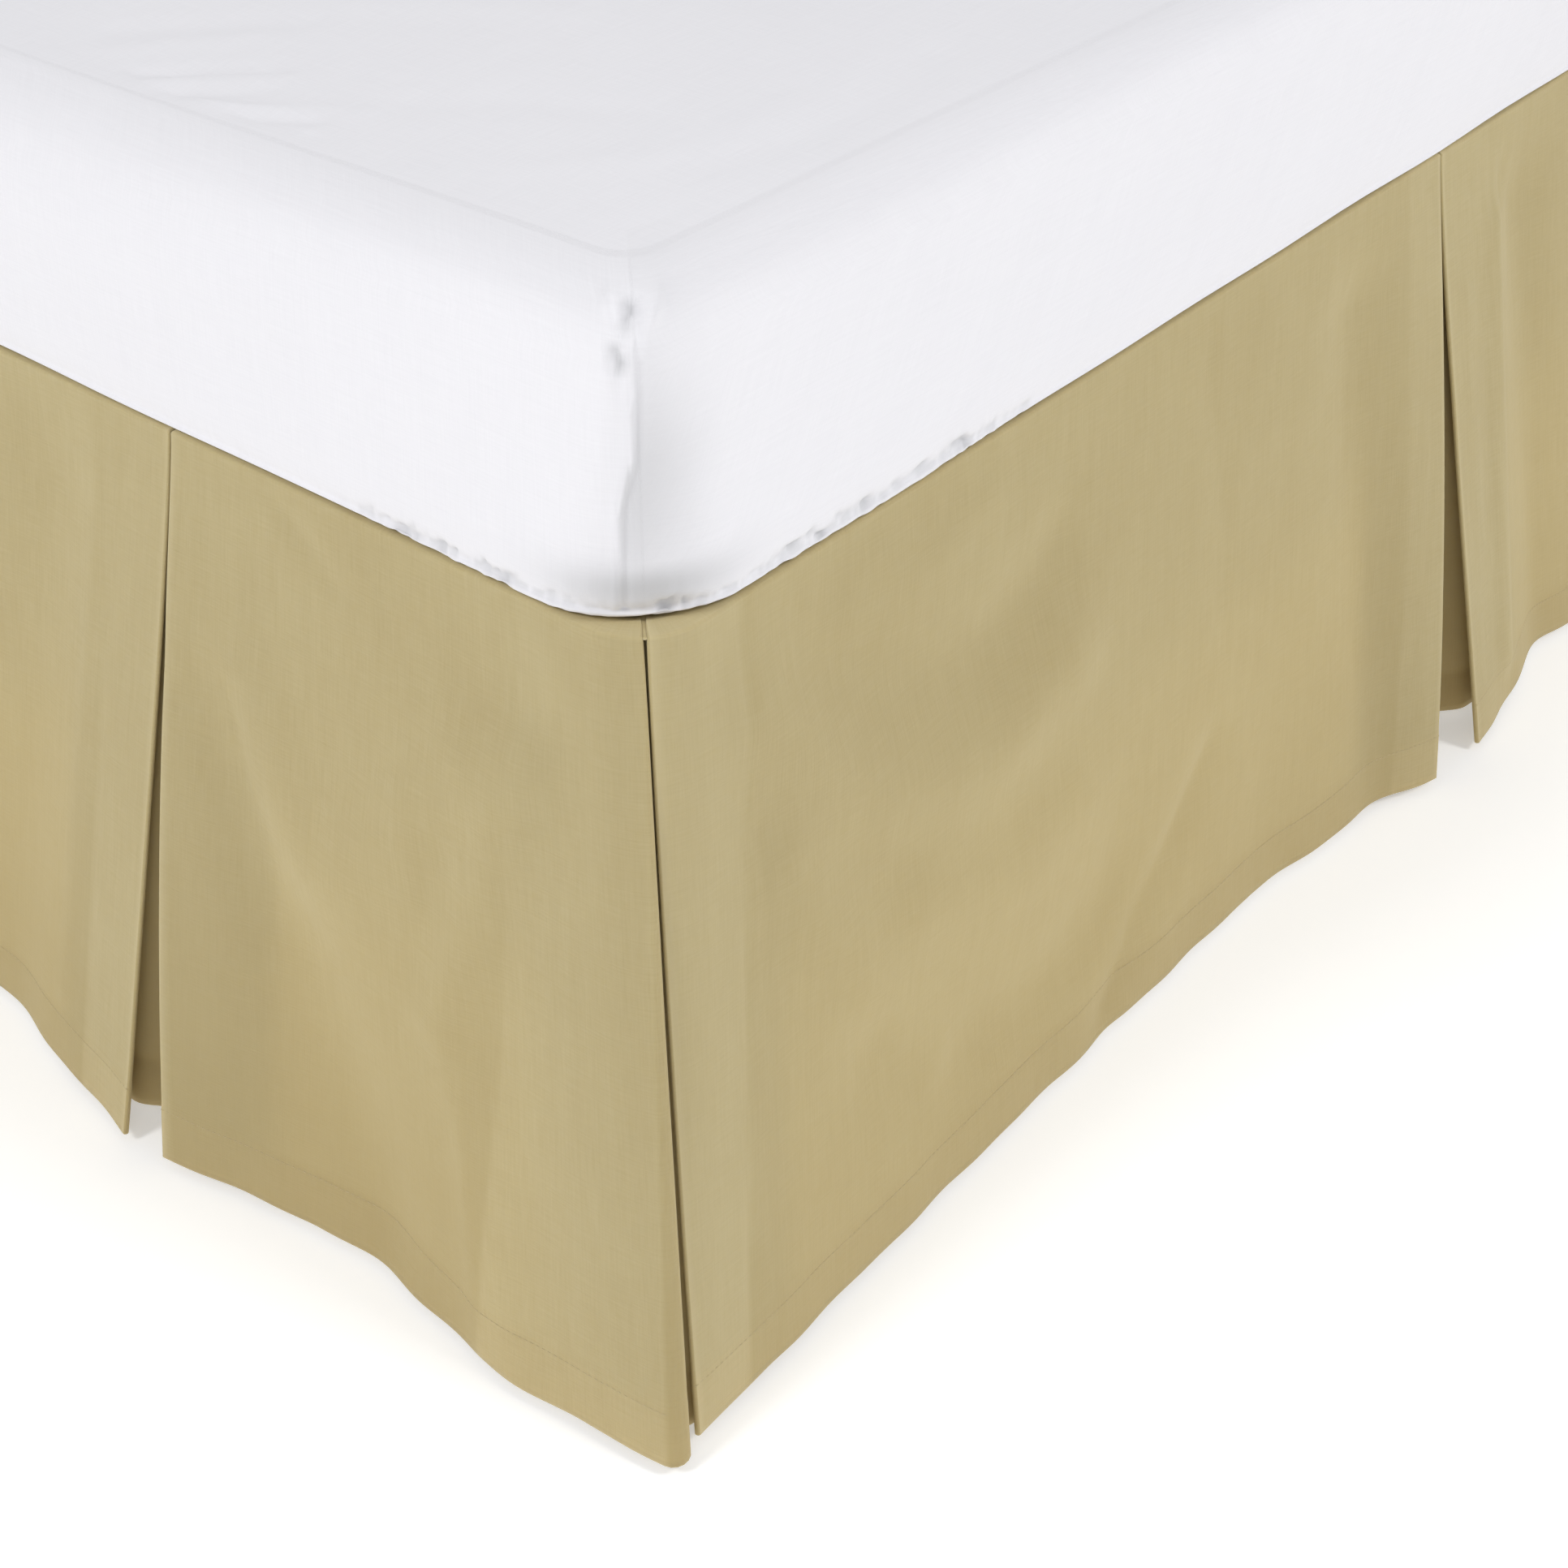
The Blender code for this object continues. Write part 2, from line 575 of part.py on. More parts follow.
def make_deck(material):
    """The flat platform cloth that carries the drops, laid over the box spring."""
    return add_slab("deck", HALF_X + CLOTH / 2, -HALF_Y - CLOTH / 2, BED_LENGTH / 2,
                    TOP_CORNER + CLOTH / 2, DECK_HEAD_CORNER, DECK_BOTTOM, SKIRT_TOP, material)


def make_box_spring(material):
    """The box spring, with rounded foot corners and eased edges."""
    box_spring = add_slab("box_spring", BED_WIDTH / 2, -BED_LENGTH / 2, BED_LENGTH / 2,
                          BOX_SPRING_FOOT_CORNER, BOX_SPRING_HEAD_CORNER,
                          BOX_SPRING_BOTTOM, BOX_SPRING_TOP, material)
    bevel = box_spring.modifiers.new("eased_edges", "BEVEL")
    bevel.width = BOX_SPRING_EDGE
    bevel.segments = 2
    bevel.limit_method = "ANGLE"
    return box_spring


def make_legs(material):
    """Three tapered legs under each long side of the box spring."""
    leg_height = BOX_SPRING_BOTTOM - GAP
    side_x = BED_WIDTH / 2 - LEG_SIDE_INSET
    end_y = BED_LENGTH / 2 - LEG_END_INSET
    for row, y in zip(LEG_ROWS, (-end_y, 0.0, end_y)):
        for side, x in (("right", side_x), ("left", -side_x)):
            mesh_data = bmesh.new()
            bmesh.ops.create_cone(mesh_data, cap_ends=True, segments=LEG_SIDES, depth=leg_height,
                                  radius1=LEG_FOOT_RADIUS, radius2=LEG_TOP_RADIUS)
            bmesh.ops.translate(mesh_data, verts=mesh_data.verts, vec=(x, y, leg_height / 2))
            add_object("leg_" + row + "_" + side, mesh_data, material)


def centre_on_floor():
    """Move everything so that the origin is under the middle of the whole object."""
    bpy.context.view_layer.update()
    for axis in (0, 1):
        values = [vert.co[axis] for item in bpy.data.objects for vert in item.data.vertices]
        middle = (min(values) + max(values)) / 2
        for item in bpy.data.objects:
            for vert in item.data.vertices:
                vert.co[axis] -= middle


def build():
    remove_everything()
    cloth = skirt_material()
    for panel in PANELS:
        make_panel(panel, cloth)
    for underlay in UNDERLAYS:
        make_underlay(underlay, cloth)
    for underlay in CORNER_UNDERLAYS:
        make_corner_underlay(underlay, cloth)
    make_deck(cloth)
    make_fitted_sheet(sheet_material())
    make_mattress(mattress_material())
    make_box_spring(box_spring_material())
    make_legs(leg_material())
    centre_on_floor()


build()
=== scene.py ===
import json
import math

import bpy
import numpy as np
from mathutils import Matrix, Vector

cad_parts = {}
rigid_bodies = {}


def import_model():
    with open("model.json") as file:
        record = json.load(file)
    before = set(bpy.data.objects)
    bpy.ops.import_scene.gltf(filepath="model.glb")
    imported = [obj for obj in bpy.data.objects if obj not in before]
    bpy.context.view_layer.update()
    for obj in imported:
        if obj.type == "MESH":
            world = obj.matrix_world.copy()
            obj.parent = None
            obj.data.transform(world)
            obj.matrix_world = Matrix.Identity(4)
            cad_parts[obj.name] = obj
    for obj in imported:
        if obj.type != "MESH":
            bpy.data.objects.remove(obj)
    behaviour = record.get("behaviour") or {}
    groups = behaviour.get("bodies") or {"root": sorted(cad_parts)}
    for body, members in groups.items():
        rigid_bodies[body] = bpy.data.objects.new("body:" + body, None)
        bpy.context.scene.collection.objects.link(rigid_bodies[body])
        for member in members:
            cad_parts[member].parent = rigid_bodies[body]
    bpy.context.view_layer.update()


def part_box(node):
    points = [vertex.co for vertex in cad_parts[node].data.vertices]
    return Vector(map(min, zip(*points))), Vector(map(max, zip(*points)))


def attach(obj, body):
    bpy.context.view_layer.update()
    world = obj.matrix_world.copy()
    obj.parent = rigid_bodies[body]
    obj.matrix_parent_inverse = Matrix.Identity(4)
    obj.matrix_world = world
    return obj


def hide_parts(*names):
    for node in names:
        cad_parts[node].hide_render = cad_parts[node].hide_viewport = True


for item in list(bpy.data.objects):
    bpy.data.objects.remove(item, do_unlink=True)

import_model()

# The bed's own sizes, all read from the frame
springLow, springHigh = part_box("box_spring")
deckLow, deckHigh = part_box("deck")
sheetLow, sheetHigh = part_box("fitted_sheet")
bedMiddle = (springLow + springHigh) / 2
bedHalf = (springHigh - springLow) / 2
gap = 0.0003  # between touching pieces

skirt = {
    "cloth": 0.0011,  # thickness of the finished cloth
    "layer": 0.0021,  # two layers pressed together, middle to middle
    "clothInSolids": deckHigh.z - deckLow.z,
    "hemHeight": 0.006,  # clear of the floor
    "rollRoom": 0.0006,  # the top of the drop, below where it rolls over the box spring's edge
    "rollRadius": 0.0014,
    "flapReach": 0.016,  # how far the top lies in under the mattress
    "hemBand": 0.024,  # the turned-up hem
    "flarePower": 1.1,
    "liftPower": 1.35,
    "topCorner": 0.035,
    "foldDepth": 1.6,  # against the folds' own heights below
    "foldFade": 0.060,
    "creaseFade": 0.012,
    "returnReach": 0.072,
    "returnSpread": 0.009,
    "returnSteps": 9,
    "foldSteps": 8,
    "lapEase": 0.003,
    "lapEaseLevel": 0.08,
    "shoulder": 0.016,
    "behind": 0.0048,  # the cloth behind a pleat lies this close, and falls back low down
    "openPower": 2.6,
    "rows": 88,
    "hiddenSpacing": 0.0062,
    "seenSpacing": 0.0036,
}
pressed = skirt["layer"] / 2  # radius of a pressed fold
stack = deckHigh.x - springHigh.x - skirt["clothInSolids"] / 2
halfX = bedHalf.x + stack
halfY = bedHalf.y + stack
footEnd = 2 * halfX
headEnd = 2 * bedHalf.y + stack
dropTop = deckLow.z - gap
cornerGap = 0.0100


def edge(top, hem, out, roll=pressed, opens=1.8, band=(0.060, 0.066, 0.05)):
    # opens is how late the pleat opens on its way down. band is the width of the cloth that is doubled
    # behind the edge, at the top and at the hem, and how much painted light it gets there.
    return {"top": top, "hem": hem, "out": out, "roll": roll, "opens": opens, "band": band}


# One row for each panel of the drop. along runs from the +X foot corner on the foot, and from the
# foot corner on each side; out is how far the hem stands out from the top line.
panels = [
    dict(piece="footPanelRight", node="foot_panel_right", face="foot", belly=0.0902, reach=(0.050, 0.100),
         start=edge(cornerGap, -0.079, 0.083, 0.0075, 1.05, (0.060, 0.112, 0.12)),
         end=edge(0.3001, 0.263, 0.107, opens=2.1, band=(0.004, 0.004, 0.10)), seen=True),
    dict(piece="footPanelMiddle", node="foot_panel_middle", face="foot", belly=0.081, reach=(0.190, 0.150),
         start=edge(0.2999, 0.290, 0.109, opens=2.1, band=(0.044, 0.047, 0.08)),
         end=edge(0.7040, 0.708, 0.106), seen=True),
    dict(piece="footPanelLeft", node="foot_panel_left", face="foot", belly=0.088, reach=(0.110, 0.060),
         start=edge(0.7038, 0.738, 0.105),
         end=edge(footEnd - cornerGap, footEnd + 0.074, 0.081, 0.0070, 1.05)),
    dict(piece="rightPanelFoot", node="right_panel_foot", face="right", belly=0.066, reach=(0.300, 0.180),
         start=edge(cornerGap, -0.0632, 0.0715, opens=1.05, band=(0.046, 0.037, 0.30)),
         end=edge(0.6901, 0.624, 0.099, band=(0.038, 0.034, 0.08)), seen=True),
    dict(piece="rightPanelMiddle", node="right_panel_middle", face="right", belly=0.085, reach=(0.140, 0.160),
         start=edge(0.6899, 0.674, 0.102), end=edge(1.2221, 1.222, 0.098), seen=True),
    dict(piece="rightPanelHead", node="right_panel_head", face="right", belly=0.064, reach=(0.170, 0.120),
         start=edge(1.2219, 1.262, 0.093), end=edge(headEnd, headEnd - 0.004, 0.071, None)),
    dict(piece="leftPanelFoot", node="left_panel_foot", face="left", belly=0.067, reach=(0.240, 0.170),
         start=edge(cornerGap, -0.057, 0.0725, opens=1.05), end=edge(0.6901, 0.636, 0.094)),
    dict(piece="leftPanelMiddle", node="left_panel_middle", face="left", belly=0.082, reach=(0.160, 0.150),
         start=edge(0.6899, 0.681, 0.100), end=edge(1.2221, 1.214, 0.102)),
    dict(piece="leftPanelHead", node="left_panel_head", face="left", belly=0.066, reach=(0.160, 0.100),
         start=edge(1.2219, 1.256, 0.096), end=edge(headEnd, headEnd - 0.006, 0.069, None)),
]
for panel in panels:
    # thin is each panel's painted shade at the top and at the hem, darker towards the hem
    panel["thin"] = (0.0, 0.62) if panel["face"] == "foot" else (0.18, 0.38)  # deeper tone, top and hem
panelOf = {panel["piece"]: panel for panel in panels}

# The cloth behind each pleat: its crease along the face, and how far out its hem stands before
# the crease, on it and after it
underlays = [
    dict(piece="footPleatRight", node="foot_pleat_right", before="footPanelRight", after="footPanelMiddle",
         creaseTop=0.300, creaseHem=0.288, outs=(0.079, 0.079, 0.091)),
    dict(piece="footPleatLeft", node="foot_pleat_left", before="footPanelMiddle", after="footPanelLeft",
         creaseTop=0.704, creaseHem=0.722, outs=(0.086, 0.076, 0.077)),
    dict(piece="rightPleatFoot", node="right_pleat_foot", before="rightPanelFoot", after="rightPanelMiddle",
         creaseTop=0.690, creaseHem=0.688, outs=(0.058, 0.060, 0.075)),
    dict(piece="rightPleatHead", node="right_pleat_head", before="rightPanelMiddle", after="rightPanelHead",
         creaseTop=1.222, creaseHem=1.243, outs=(0.072, 0.062, 0.064)),
    dict(piece="leftPleatFoot", node="left_pleat_foot", before="leftPanelFoot", after="leftPanelMiddle",
         creaseTop=0.690, creaseHem=0.692, outs=(0.060, 0.061, 0.074)),
    dict(piece="leftPleatHead", node="left_pleat_head", before="leftPanelMiddle", after="leftPanelHead",
         creaseTop=1.222, creaseHem=1.236, outs=(0.073, 0.063, 0.066)),
]
cornerPleats = [
    dict(piece="cornerPleatRight", node="corner_pleat_right", footPanel="footPanelRight", footEdge="start",
         sidePanel="rightPanelFoot", reach=0.065, roundHem=0.008),
    dict(piece="cornerPleatLeft", node="corner_pleat_left", footPanel="footPanelLeft", footEdge="end",
         sidePanel="leftPanelFoot", reach=0.063, roundHem=0.009),
]
cornerTop = {"inset": 0.0072, "round": 0.031}

# Soft folds: height over the cloth (a trough is below 0), width, and a path of
# (along, drop from the skirt's top)
folds = {
    "footPanelRight": [
        (0.0044, 0.028, [(0.244, 0.110), (0.180, 0.180), (0.095, 0.090)]),
        (-0.0046, 0.032, [(0.256, 0.120), (0.212, 0.200), (0.165, 0.270), (0.120, 0.345)]),
        (0.0036, 0.018, [(0.061, 0.075), (0.093, 0.215)]),
        (0.0035, 0.024, [(0.073, 0.244), (0.020, 0.375)]),
        (-0.0020, 0.040, [(0.190, 0.290), (0.130, 0.375)]),
    ],
    "footPanelMiddle": [
        (-0.0035, 0.035, [(0.390, 0.010), (0.408, 0.200), (0.430, 0.375)]),
        (0.0050, 0.030, [(0.500, 0.060), (0.520, 0.200), (0.505, 0.375)]),
        (-0.0060, 0.035, [(0.610, 0.040), (0.590, 0.220), (0.580, 0.375)]),
    ],
    "footPanelLeft": [
        (-0.0050, 0.025, [(0.790, 0.060), (0.850, 0.190), (0.860, 0.375)]),
        (0.0040, 0.020, [(0.920, 0.050), (0.930, 0.230), (0.955, 0.375)]),
    ],
    "rightPanelFoot": [
        (0.0004, 0.014, [(0.057, 0.020), (0.010, 0.220), (-0.022, 0.375)]),
        (-0.0036, 0.024, [(0.080, 0.007), (0.108, 0.049), (0.158, 0.084), (0.218, 0.097), (0.281, 0.080)]),
        (0.0042, 0.026, [(0.062, 0.050), (0.090, 0.095), (0.140, 0.135), (0.205, 0.155), (0.285, 0.140)]),
        (0.0036, 0.028, [(0.150, 0.205), (0.215, 0.228), (0.280, 0.218)]),
        (-0.0046, 0.030, [(0.110, 0.262), (0.165, 0.300), (0.230, 0.312), (0.310, 0.296)]),
        (0.0034, 0.022, [(0.061, 0.136), (0.097, 0.208), (0.144, 0.293)]),
        (-0.0022, 0.016, [(0.414, 0.257), (0.291, 0.358)]),
        (-0.0054, 0.036, [(0.592, 0.060), (0.588, 0.222), (0.580, 0.375)]),
    ],
    "rightPanelMiddle": [
        (0.0030, 0.016, [(0.762, 0.060), (0.739, 0.337)]),
        (-0.0050, 0.032, [(0.800, 0.050), (0.811, 0.220), (0.805, 0.375)]),
        (0.0050, 0.035, [(0.930, 0.060), (0.950, 0.210), (0.930, 0.375)]),
        (-0.0060, 0.040, [(1.080, 0.050), (1.060, 0.220), (1.085, 0.375)]),
    ],
    "rightPanelHead": [
        (-0.0055, 0.032, [(1.330, 0.050), (1.345, 0.210), (1.350, 0.375)]),
        (0.0050, 0.028, [(1.420, 0.030), (1.500, 0.120), (1.600, 0.120), (1.680, 0.050)]),
        (-0.0050, 0.035, [(1.640, 0.170), (1.700, 0.280), (1.690, 0.375)]),
    ],
    "leftPanelFoot": [
        (0.0050, 0.026, [(0.080, 0.030), (0.160, 0.110), (0.270, 0.100)]),
        (-0.0050, 0.030, [(0.330, 0.080), (0.370, 0.220), (0.360, 0.375)]),
        (-0.0060, 0.030, [(0.580, 0.060), (0.585, 0.220), (0.560, 0.375)]),
    ],
    "leftPanelMiddle": [
        (-0.0055, 0.032, [(0.790, 0.060), (0.800, 0.220), (0.795, 0.375)]),
        (0.0050, 0.030, [(0.930, 0.040), (0.960, 0.160), (1.010, 0.240)]),
        (-0.0055, 0.032, [(1.110, 0.070), (1.095, 0.220), (1.100, 0.375)]),
    ],
    "leftPanelHead": [
        (-0.0055, 0.032, [(1.320, 0.060), (1.340, 0.220), (1.345, 0.375)]),
        (0.0045, 0.026, [(1.480, 0.040), (1.540, 0.130), (1.640, 0.130)]),
        (-0.0045, 0.034, [(1.740, 0.120), (1.720, 0.250), (1.735, 0.375)]),
    ],
}

# Finer creases that only the finished cloth has, in the same form
creases = {
    "footPanelRight": [
        (-0.0008, 0.008, [(0.252, 0.112), (0.240, 0.148), (0.224, 0.180)]),
        (0.0011, 0.008, [(0.128, 0.112), (0.120, 0.160), (0.126, 0.215)]),
        (-0.0012, 0.008, [(0.224, 0.010), (0.204, 0.022), (0.183, 0.036)]),
        (0.0010, 0.010, [(0.051, 0.006), (0.045, 0.030)]),
        (0.0008, 0.006, [(0.073, 0.250), (0.060, 0.300), (0.041, 0.366)]),
    ],
    "footPanelMiddle": [
        (0.0009, 0.008, [(0.358, 0.040), (0.361, 0.200), (0.366, 0.330)]),
        (-0.0008, 0.007, [(0.330, 0.012), (0.336, 0.045)]),
    ],
    "rightPanelFoot": [
        (0.0006, 0.006, [(0.055, 0.020), (0.016, 0.200), (-0.004, 0.290)]),
        (-0.0013, 0.008, [(0.253, 0.004), (0.276, 0.024), (0.306, 0.050)]),
        (-0.0010, 0.006, [(0.414, 0.257), (0.350, 0.308), (0.291, 0.360)]),
        (0.0012, 0.011, [(0.140, 0.022), (0.185, 0.040), (0.235, 0.026)]),
        (-0.0008, 0.010, [(0.430, 0.030), (0.440, 0.110), (0.432, 0.200)]),
    ],
    "rightPanelMiddle": [
        (-0.0013, 0.007, [(0.770, 0.030), (0.764, 0.120), (0.747, 0.337)]),
        (0.0008, 0.009, [(0.715, 0.090), (0.708, 0.250)]),
    ],
}


def mix(first, last, share):
    return first + (last - first) * share


def flare(level):
    return level ** skirt["flarePower"]


def smoothPath(points, steps=6):
    # A fold's few given points, as one soft curve
    points = np.array(points, float)
    if len(points) < 3:
        return points
    padded = np.vstack([2 * points[0] - points[1], points, 2 * points[-1] - points[-2]])
    curve = []
    for index in range(1, len(padded) - 2):
        a, b, c, d = padded[index - 1:index + 3]
        for t in np.arange(steps) / steps:
            curve.append(0.5 * (2 * b + (c - a) * t + (2 * a - 5 * b + 4 * c - d) * t ** 2
                                + (3 * b - 3 * c + d - a) * t ** 3))
    return np.vstack([curve, points[-1:]])


def distanceToPath(x, y, path):
    nearest = np.full(np.broadcast(x, y).shape, np.inf)
    for (ax, ay), (bx, by) in zip(path, path[1:]):
        dx, dy = bx - ax, by - ay
        share = np.clip(((x - ax) * dx + (y - ay) * dy) / (dx * dx + dy * dy), 0, 1)
        nearest = np.minimum(nearest, np.hypot(x - ax - share * dx, y - ay - share * dy))
    return nearest


# Small unevenness that every hung cloth has: puckers under the top seam, faint dents over the
# drop and a wave along the hem
unevenness = {"puckerGap": 0.019, "puckerHeight": 0.0007, "puckerWidth": 0.0050, "puckerLength": 0.022,
              "dentsPerMetre": 46, "dentHeight": 0.0006, "dentWidth": 0.017, "dentStretch": 2.2,
              "hemWave": 0.0005, "hemWaveLength": 0.083, "hemWaveReach": 0.05, "seed": 11}


def unevenPlaces(panel):
    # The same places each run, kept with the panel
    if "uneven" not in panel:
        draw = np.random.default_rng(unevenness["seed"] + panels.index(panel))
        low, high = sorted((panel["start"]["top"], panel["end"]["top"]))
        count = int((high - low) / unevenness["puckerGap"])
        puckers = [(low + (index + draw.uniform(0.1, 0.9)) * (high - low) / count, draw.uniform(-1, 1),
                    draw.uniform(0.5, 1.4)) for index in range(count)]
        dents = [(draw.uniform(low - 0.08, high + 0.08), draw.uniform(0.05, 0.375), draw.uniform(-1, 1),
                  draw.uniform(0.6, 1.6), draw.uniform(-0.5, 0.5))
                 for _ in range(int((high - low) * unevenness["dentsPerMetre"]))]
        panel["uneven"] = (puckers, dents, draw.uniform(0, 6.28, 2))
    return panel["uneven"]


def relief(panel, along, level):
    drop = level * dropTop
    soft = np.zeros(np.broadcast(along, level).shape)
    for height, width, path in folds.get(panel["piece"], []):
        away = distanceToPath(along, drop, smoothPath(path)) / width
        soft += skirt["foldDepth"] * height * np.exp(-away ** 2)
    fine = np.zeros_like(soft)
    for height, width, path in creases.get(panel["piece"], []):
        fine += height * np.exp(-(distanceToPath(along, drop, smoothPath(path)) / width) ** 2)
    puckers, dents, phase = unevenPlaces(panel)
    for place, tone, size in puckers:
        across = np.exp(-((along - place) / (unevenness["puckerWidth"] * size)) ** 2)
        downward = np.exp(-drop / (unevenness["puckerLength"] * size))
        fine += tone * unevenness["puckerHeight"] * across * downward
    for place, depth, tone, size, lean in dents:
        across = (along - place - lean * (drop - depth)) / (unevenness["dentWidth"] * size)
        down = (drop - depth) / (unevenness["dentWidth"] * unevenness["dentStretch"] * size)
        fine += tone * unevenness["dentHeight"] * np.exp(-across ** 2 - down ** 2)
    toHem = np.exp(-(dropTop - drop) / unevenness["hemWaveReach"])
    turn = along * 2 * np.pi / unevenness["hemWaveLength"]
    wave = np.sin(turn + phase[0]) + 0.6 * np.sin(1.7 * turn + phase[1])
    fine += unevenness["hemWave"] * wave * toHem
    soft = soft * np.minimum(drop / skirt["foldFade"], 1)
    for side in (panel["start"], panel["end"]):
        if side["roll"] is not None:
            soft = soft * (1 - 0.85 * np.exp(-((along - edgeAlong(side, level)) / 0.026) ** 2))
    return soft + fine * np.minimum(drop / skirt["creaseFade"], 1)


def edgeAlong(side, level):
    return mix(side["top"], side["hem"], level ** side["opens"])


def edgeRoll(side, level):
    return mix(pressed, side["roll"], flare(level))


def cornerInset(panel, along):
    fromCorner = np.minimum(along, footEnd - along) if panel["face"] == "foot" else along
    radius = skirt["topCorner"]
    beyond = np.clip(radius - fromCorner, 0, radius)
    return radius - np.sqrt(radius ** 2 - beyond ** 2)


def frontOut(panel, along, level):
    start, end = panel["start"], panel["end"]
    share = (along - edgeAlong(start, level)) / (edgeAlong(end, level) - edgeAlong(start, level))
    hemAlong = mix(start["hem"], end["hem"], share)
    hemOut = panel["belly"] + np.zeros_like(hemAlong)
    for side, distance, reach in ((start, hemAlong - start["hem"], panel["reach"][0]),
                                  (end, end["hem"] - hemAlong, panel["reach"][1])):
        lift = np.maximum(1 - distance / reach, 0) ** skirt["liftPower"]
        hemOut = hemOut + (side["out"] - panel["belly"]) * lift
    topOut = -cornerInset(panel, mix(start["top"], end["top"], share))
    return mix(topOut, hemOut, flare(level)) + relief(panel, along, level)


def foldCentre(side, level, inward):
    if side["roll"] is None:
        return edgeAlong(side, level)
    return edgeAlong(side, level) + inward * (skirt["clothInSolids"] / 2 + edgeRoll(side, level))


def behindFront(panel, along, level, depth):
    # A point behind the front, square to it
    step = 0.002
    out = frontOut(panel, along, level)
    slope = (frontOut(panel, along + step, level) - frontOut(panel, along - step, level)) / (2 * step)
    size = np.hypot(slope, 1)
    return np.stack([along + depth * slope / size, out - depth / size], -1)


def turnedBack(panel, side, level, inward, distance, extra=0.0):
    along = foldCentre(side, level, inward) + inward * distance
    depth = 2 * edgeRoll(side, level) + skirt["returnSpread"] * flare(level) * distance / skirt["returnReach"]
    return behindFront(panel, along, level, depth + extra)


def foldedEdge(panel, side, level, inward):
    # From the raw edge behind the panel, round the fold, up to where the front begins
    distances = skirt["returnReach"] * np.arange(skirt["returnSteps"], 0, -1) / skirt["returnSteps"]
    back = turnedBack(panel, side, level, inward, distances[None, :])
    centre = foldCentre(side, level, inward)
    radius = edgeRoll(side, level)
    middle = behindFront(panel, centre, level, radius)
    normal = (behindFront(panel, centre, level, 0.0) - middle) / radius[..., None]
    outward = np.stack([-inward * normal[..., 1], inward * normal[..., 0]], -1)
    turns = np.radians(-90 + 180 * np.arange(skirt["foldSteps"]) / skirt["foldSteps"])
    fold = middle + radius[..., None] * (outward * np.cos(turns)[None, :, None]
                                         + normal * np.sin(turns)[None, :, None])
    return np.concatenate([back, fold], 1)


def toBed(face, section, height):
    # (along, out) on a face of the bed to x, y, z in the frame
    along, out = section[..., 0], section[..., 1]
    if face == "foot":
        x, y = halfX - along, -halfY - out
    elif face == "right":
        x, y = halfX + out, -halfY + along
    else:
        x, y = -halfX - out, -halfY + along
    return np.stack([x + bedMiddle.x, y + bedMiddle.y, np.broadcast_to(height, x.shape)], -1)


levels = np.linspace(0, 1, skirt["rows"])[:, None]
dropHeights = mix(dropTop - skirt["rollRoom"], skirt["hemHeight"], levels)


def rollPath():
    # (inward, height) of the drop's top as it rolls in over the box spring, and the same rows
    # pressed together, for cloth that stays behind the front
    base, radius = dropTop + 0.00005, skirt["rollRadius"]
    path = [(0.0, base)]
    for turn in np.radians((22.5, 45, 67.5, 90)):
        path.append((radius * (1 - math.cos(turn)), base + radius * math.sin(turn)))
    path += [(reach, base + radius) for reach in (0.004, 0.008, 0.012, skirt["flapReach"])]
    low = dropTop - skirt["rollRoom"]
    return [(inward, height, low + 0.00006 * (index + 1)) for index, (inward, height) in enumerate(path)]


def rolledTop(panel, along, weights):
    # The rows over the top edge, from the inner end outwards. weights is 1 on the front and falls
    # to 0 round the fold at each pleat.
    top = behindFront(panel, along, 0.0, 0.0)
    square = behindFront(panel, along, 0.0, 1.0) - top
    rows, heights = [], []
    for inward, height, stayed in reversed(rollPath()):
        rows.append(square * (inward * weights ** 3)[:, None])
        heights.append(mix(stayed, height, weights))
    return np.stack(rows), np.stack(heights)


def panelGrid(panel):
    spacing = skirt["seenSpacing"] if panel.get("seen") else skirt["hiddenSpacing"]
    width = panel["end"]["hem"] - panel["start"]["hem"]
    shares = np.linspace(0, 1, int(width / spacing) + 1)[None, :]
    first = foldCentre(panel["start"], levels, 1)
    last = foldCentre(panel["end"], levels, -1)
    along = mix(first, last, shares)
    parts = [np.stack([along, frontOut(panel, along, levels)], -1)]
    frontStart = 0
    if panel["start"]["roll"] is not None:
        parts.insert(0, foldedEdge(panel, panel["start"], levels, 1))
        frontStart = parts[0].shape[1]
    if panel["end"]["roll"] is not None:
        parts.append(foldedEdge(panel, panel["end"], levels, -1)[:, ::-1])
    panel["front"] = slice(frontStart, frontStart + along.shape[1])
    section = np.concatenate(parts, 1)
    weights = np.zeros(section.shape[1])
    weights[panel["front"]] = 1.0
    turned = np.sin(np.radians(np.arange(-90, 90, 180 / skirt["foldSteps"]))).clip(0)
    if panel["start"]["roll"] is not None:
        weights[frontStart - skirt["foldSteps"]:frontStart] = turned
    if panel["end"]["roll"] is not None:
        stop = panel["front"].stop
        weights[stop:stop + skirt["foldSteps"]] = turned[::-1]
    shifts, rollHeights = rolledTop(panel, section[0, :, 0], weights)
    panel["paintedLight"], panel["paintedShade"] = clothTones(panel, along, weights, len(shifts))
    section = np.concatenate([section[:1] + shifts, section])
    heights = np.concatenate([rollHeights, np.broadcast_to(dropHeights, (len(levels), section.shape[1]))])
    return toBed(panel["face"], section, heights)


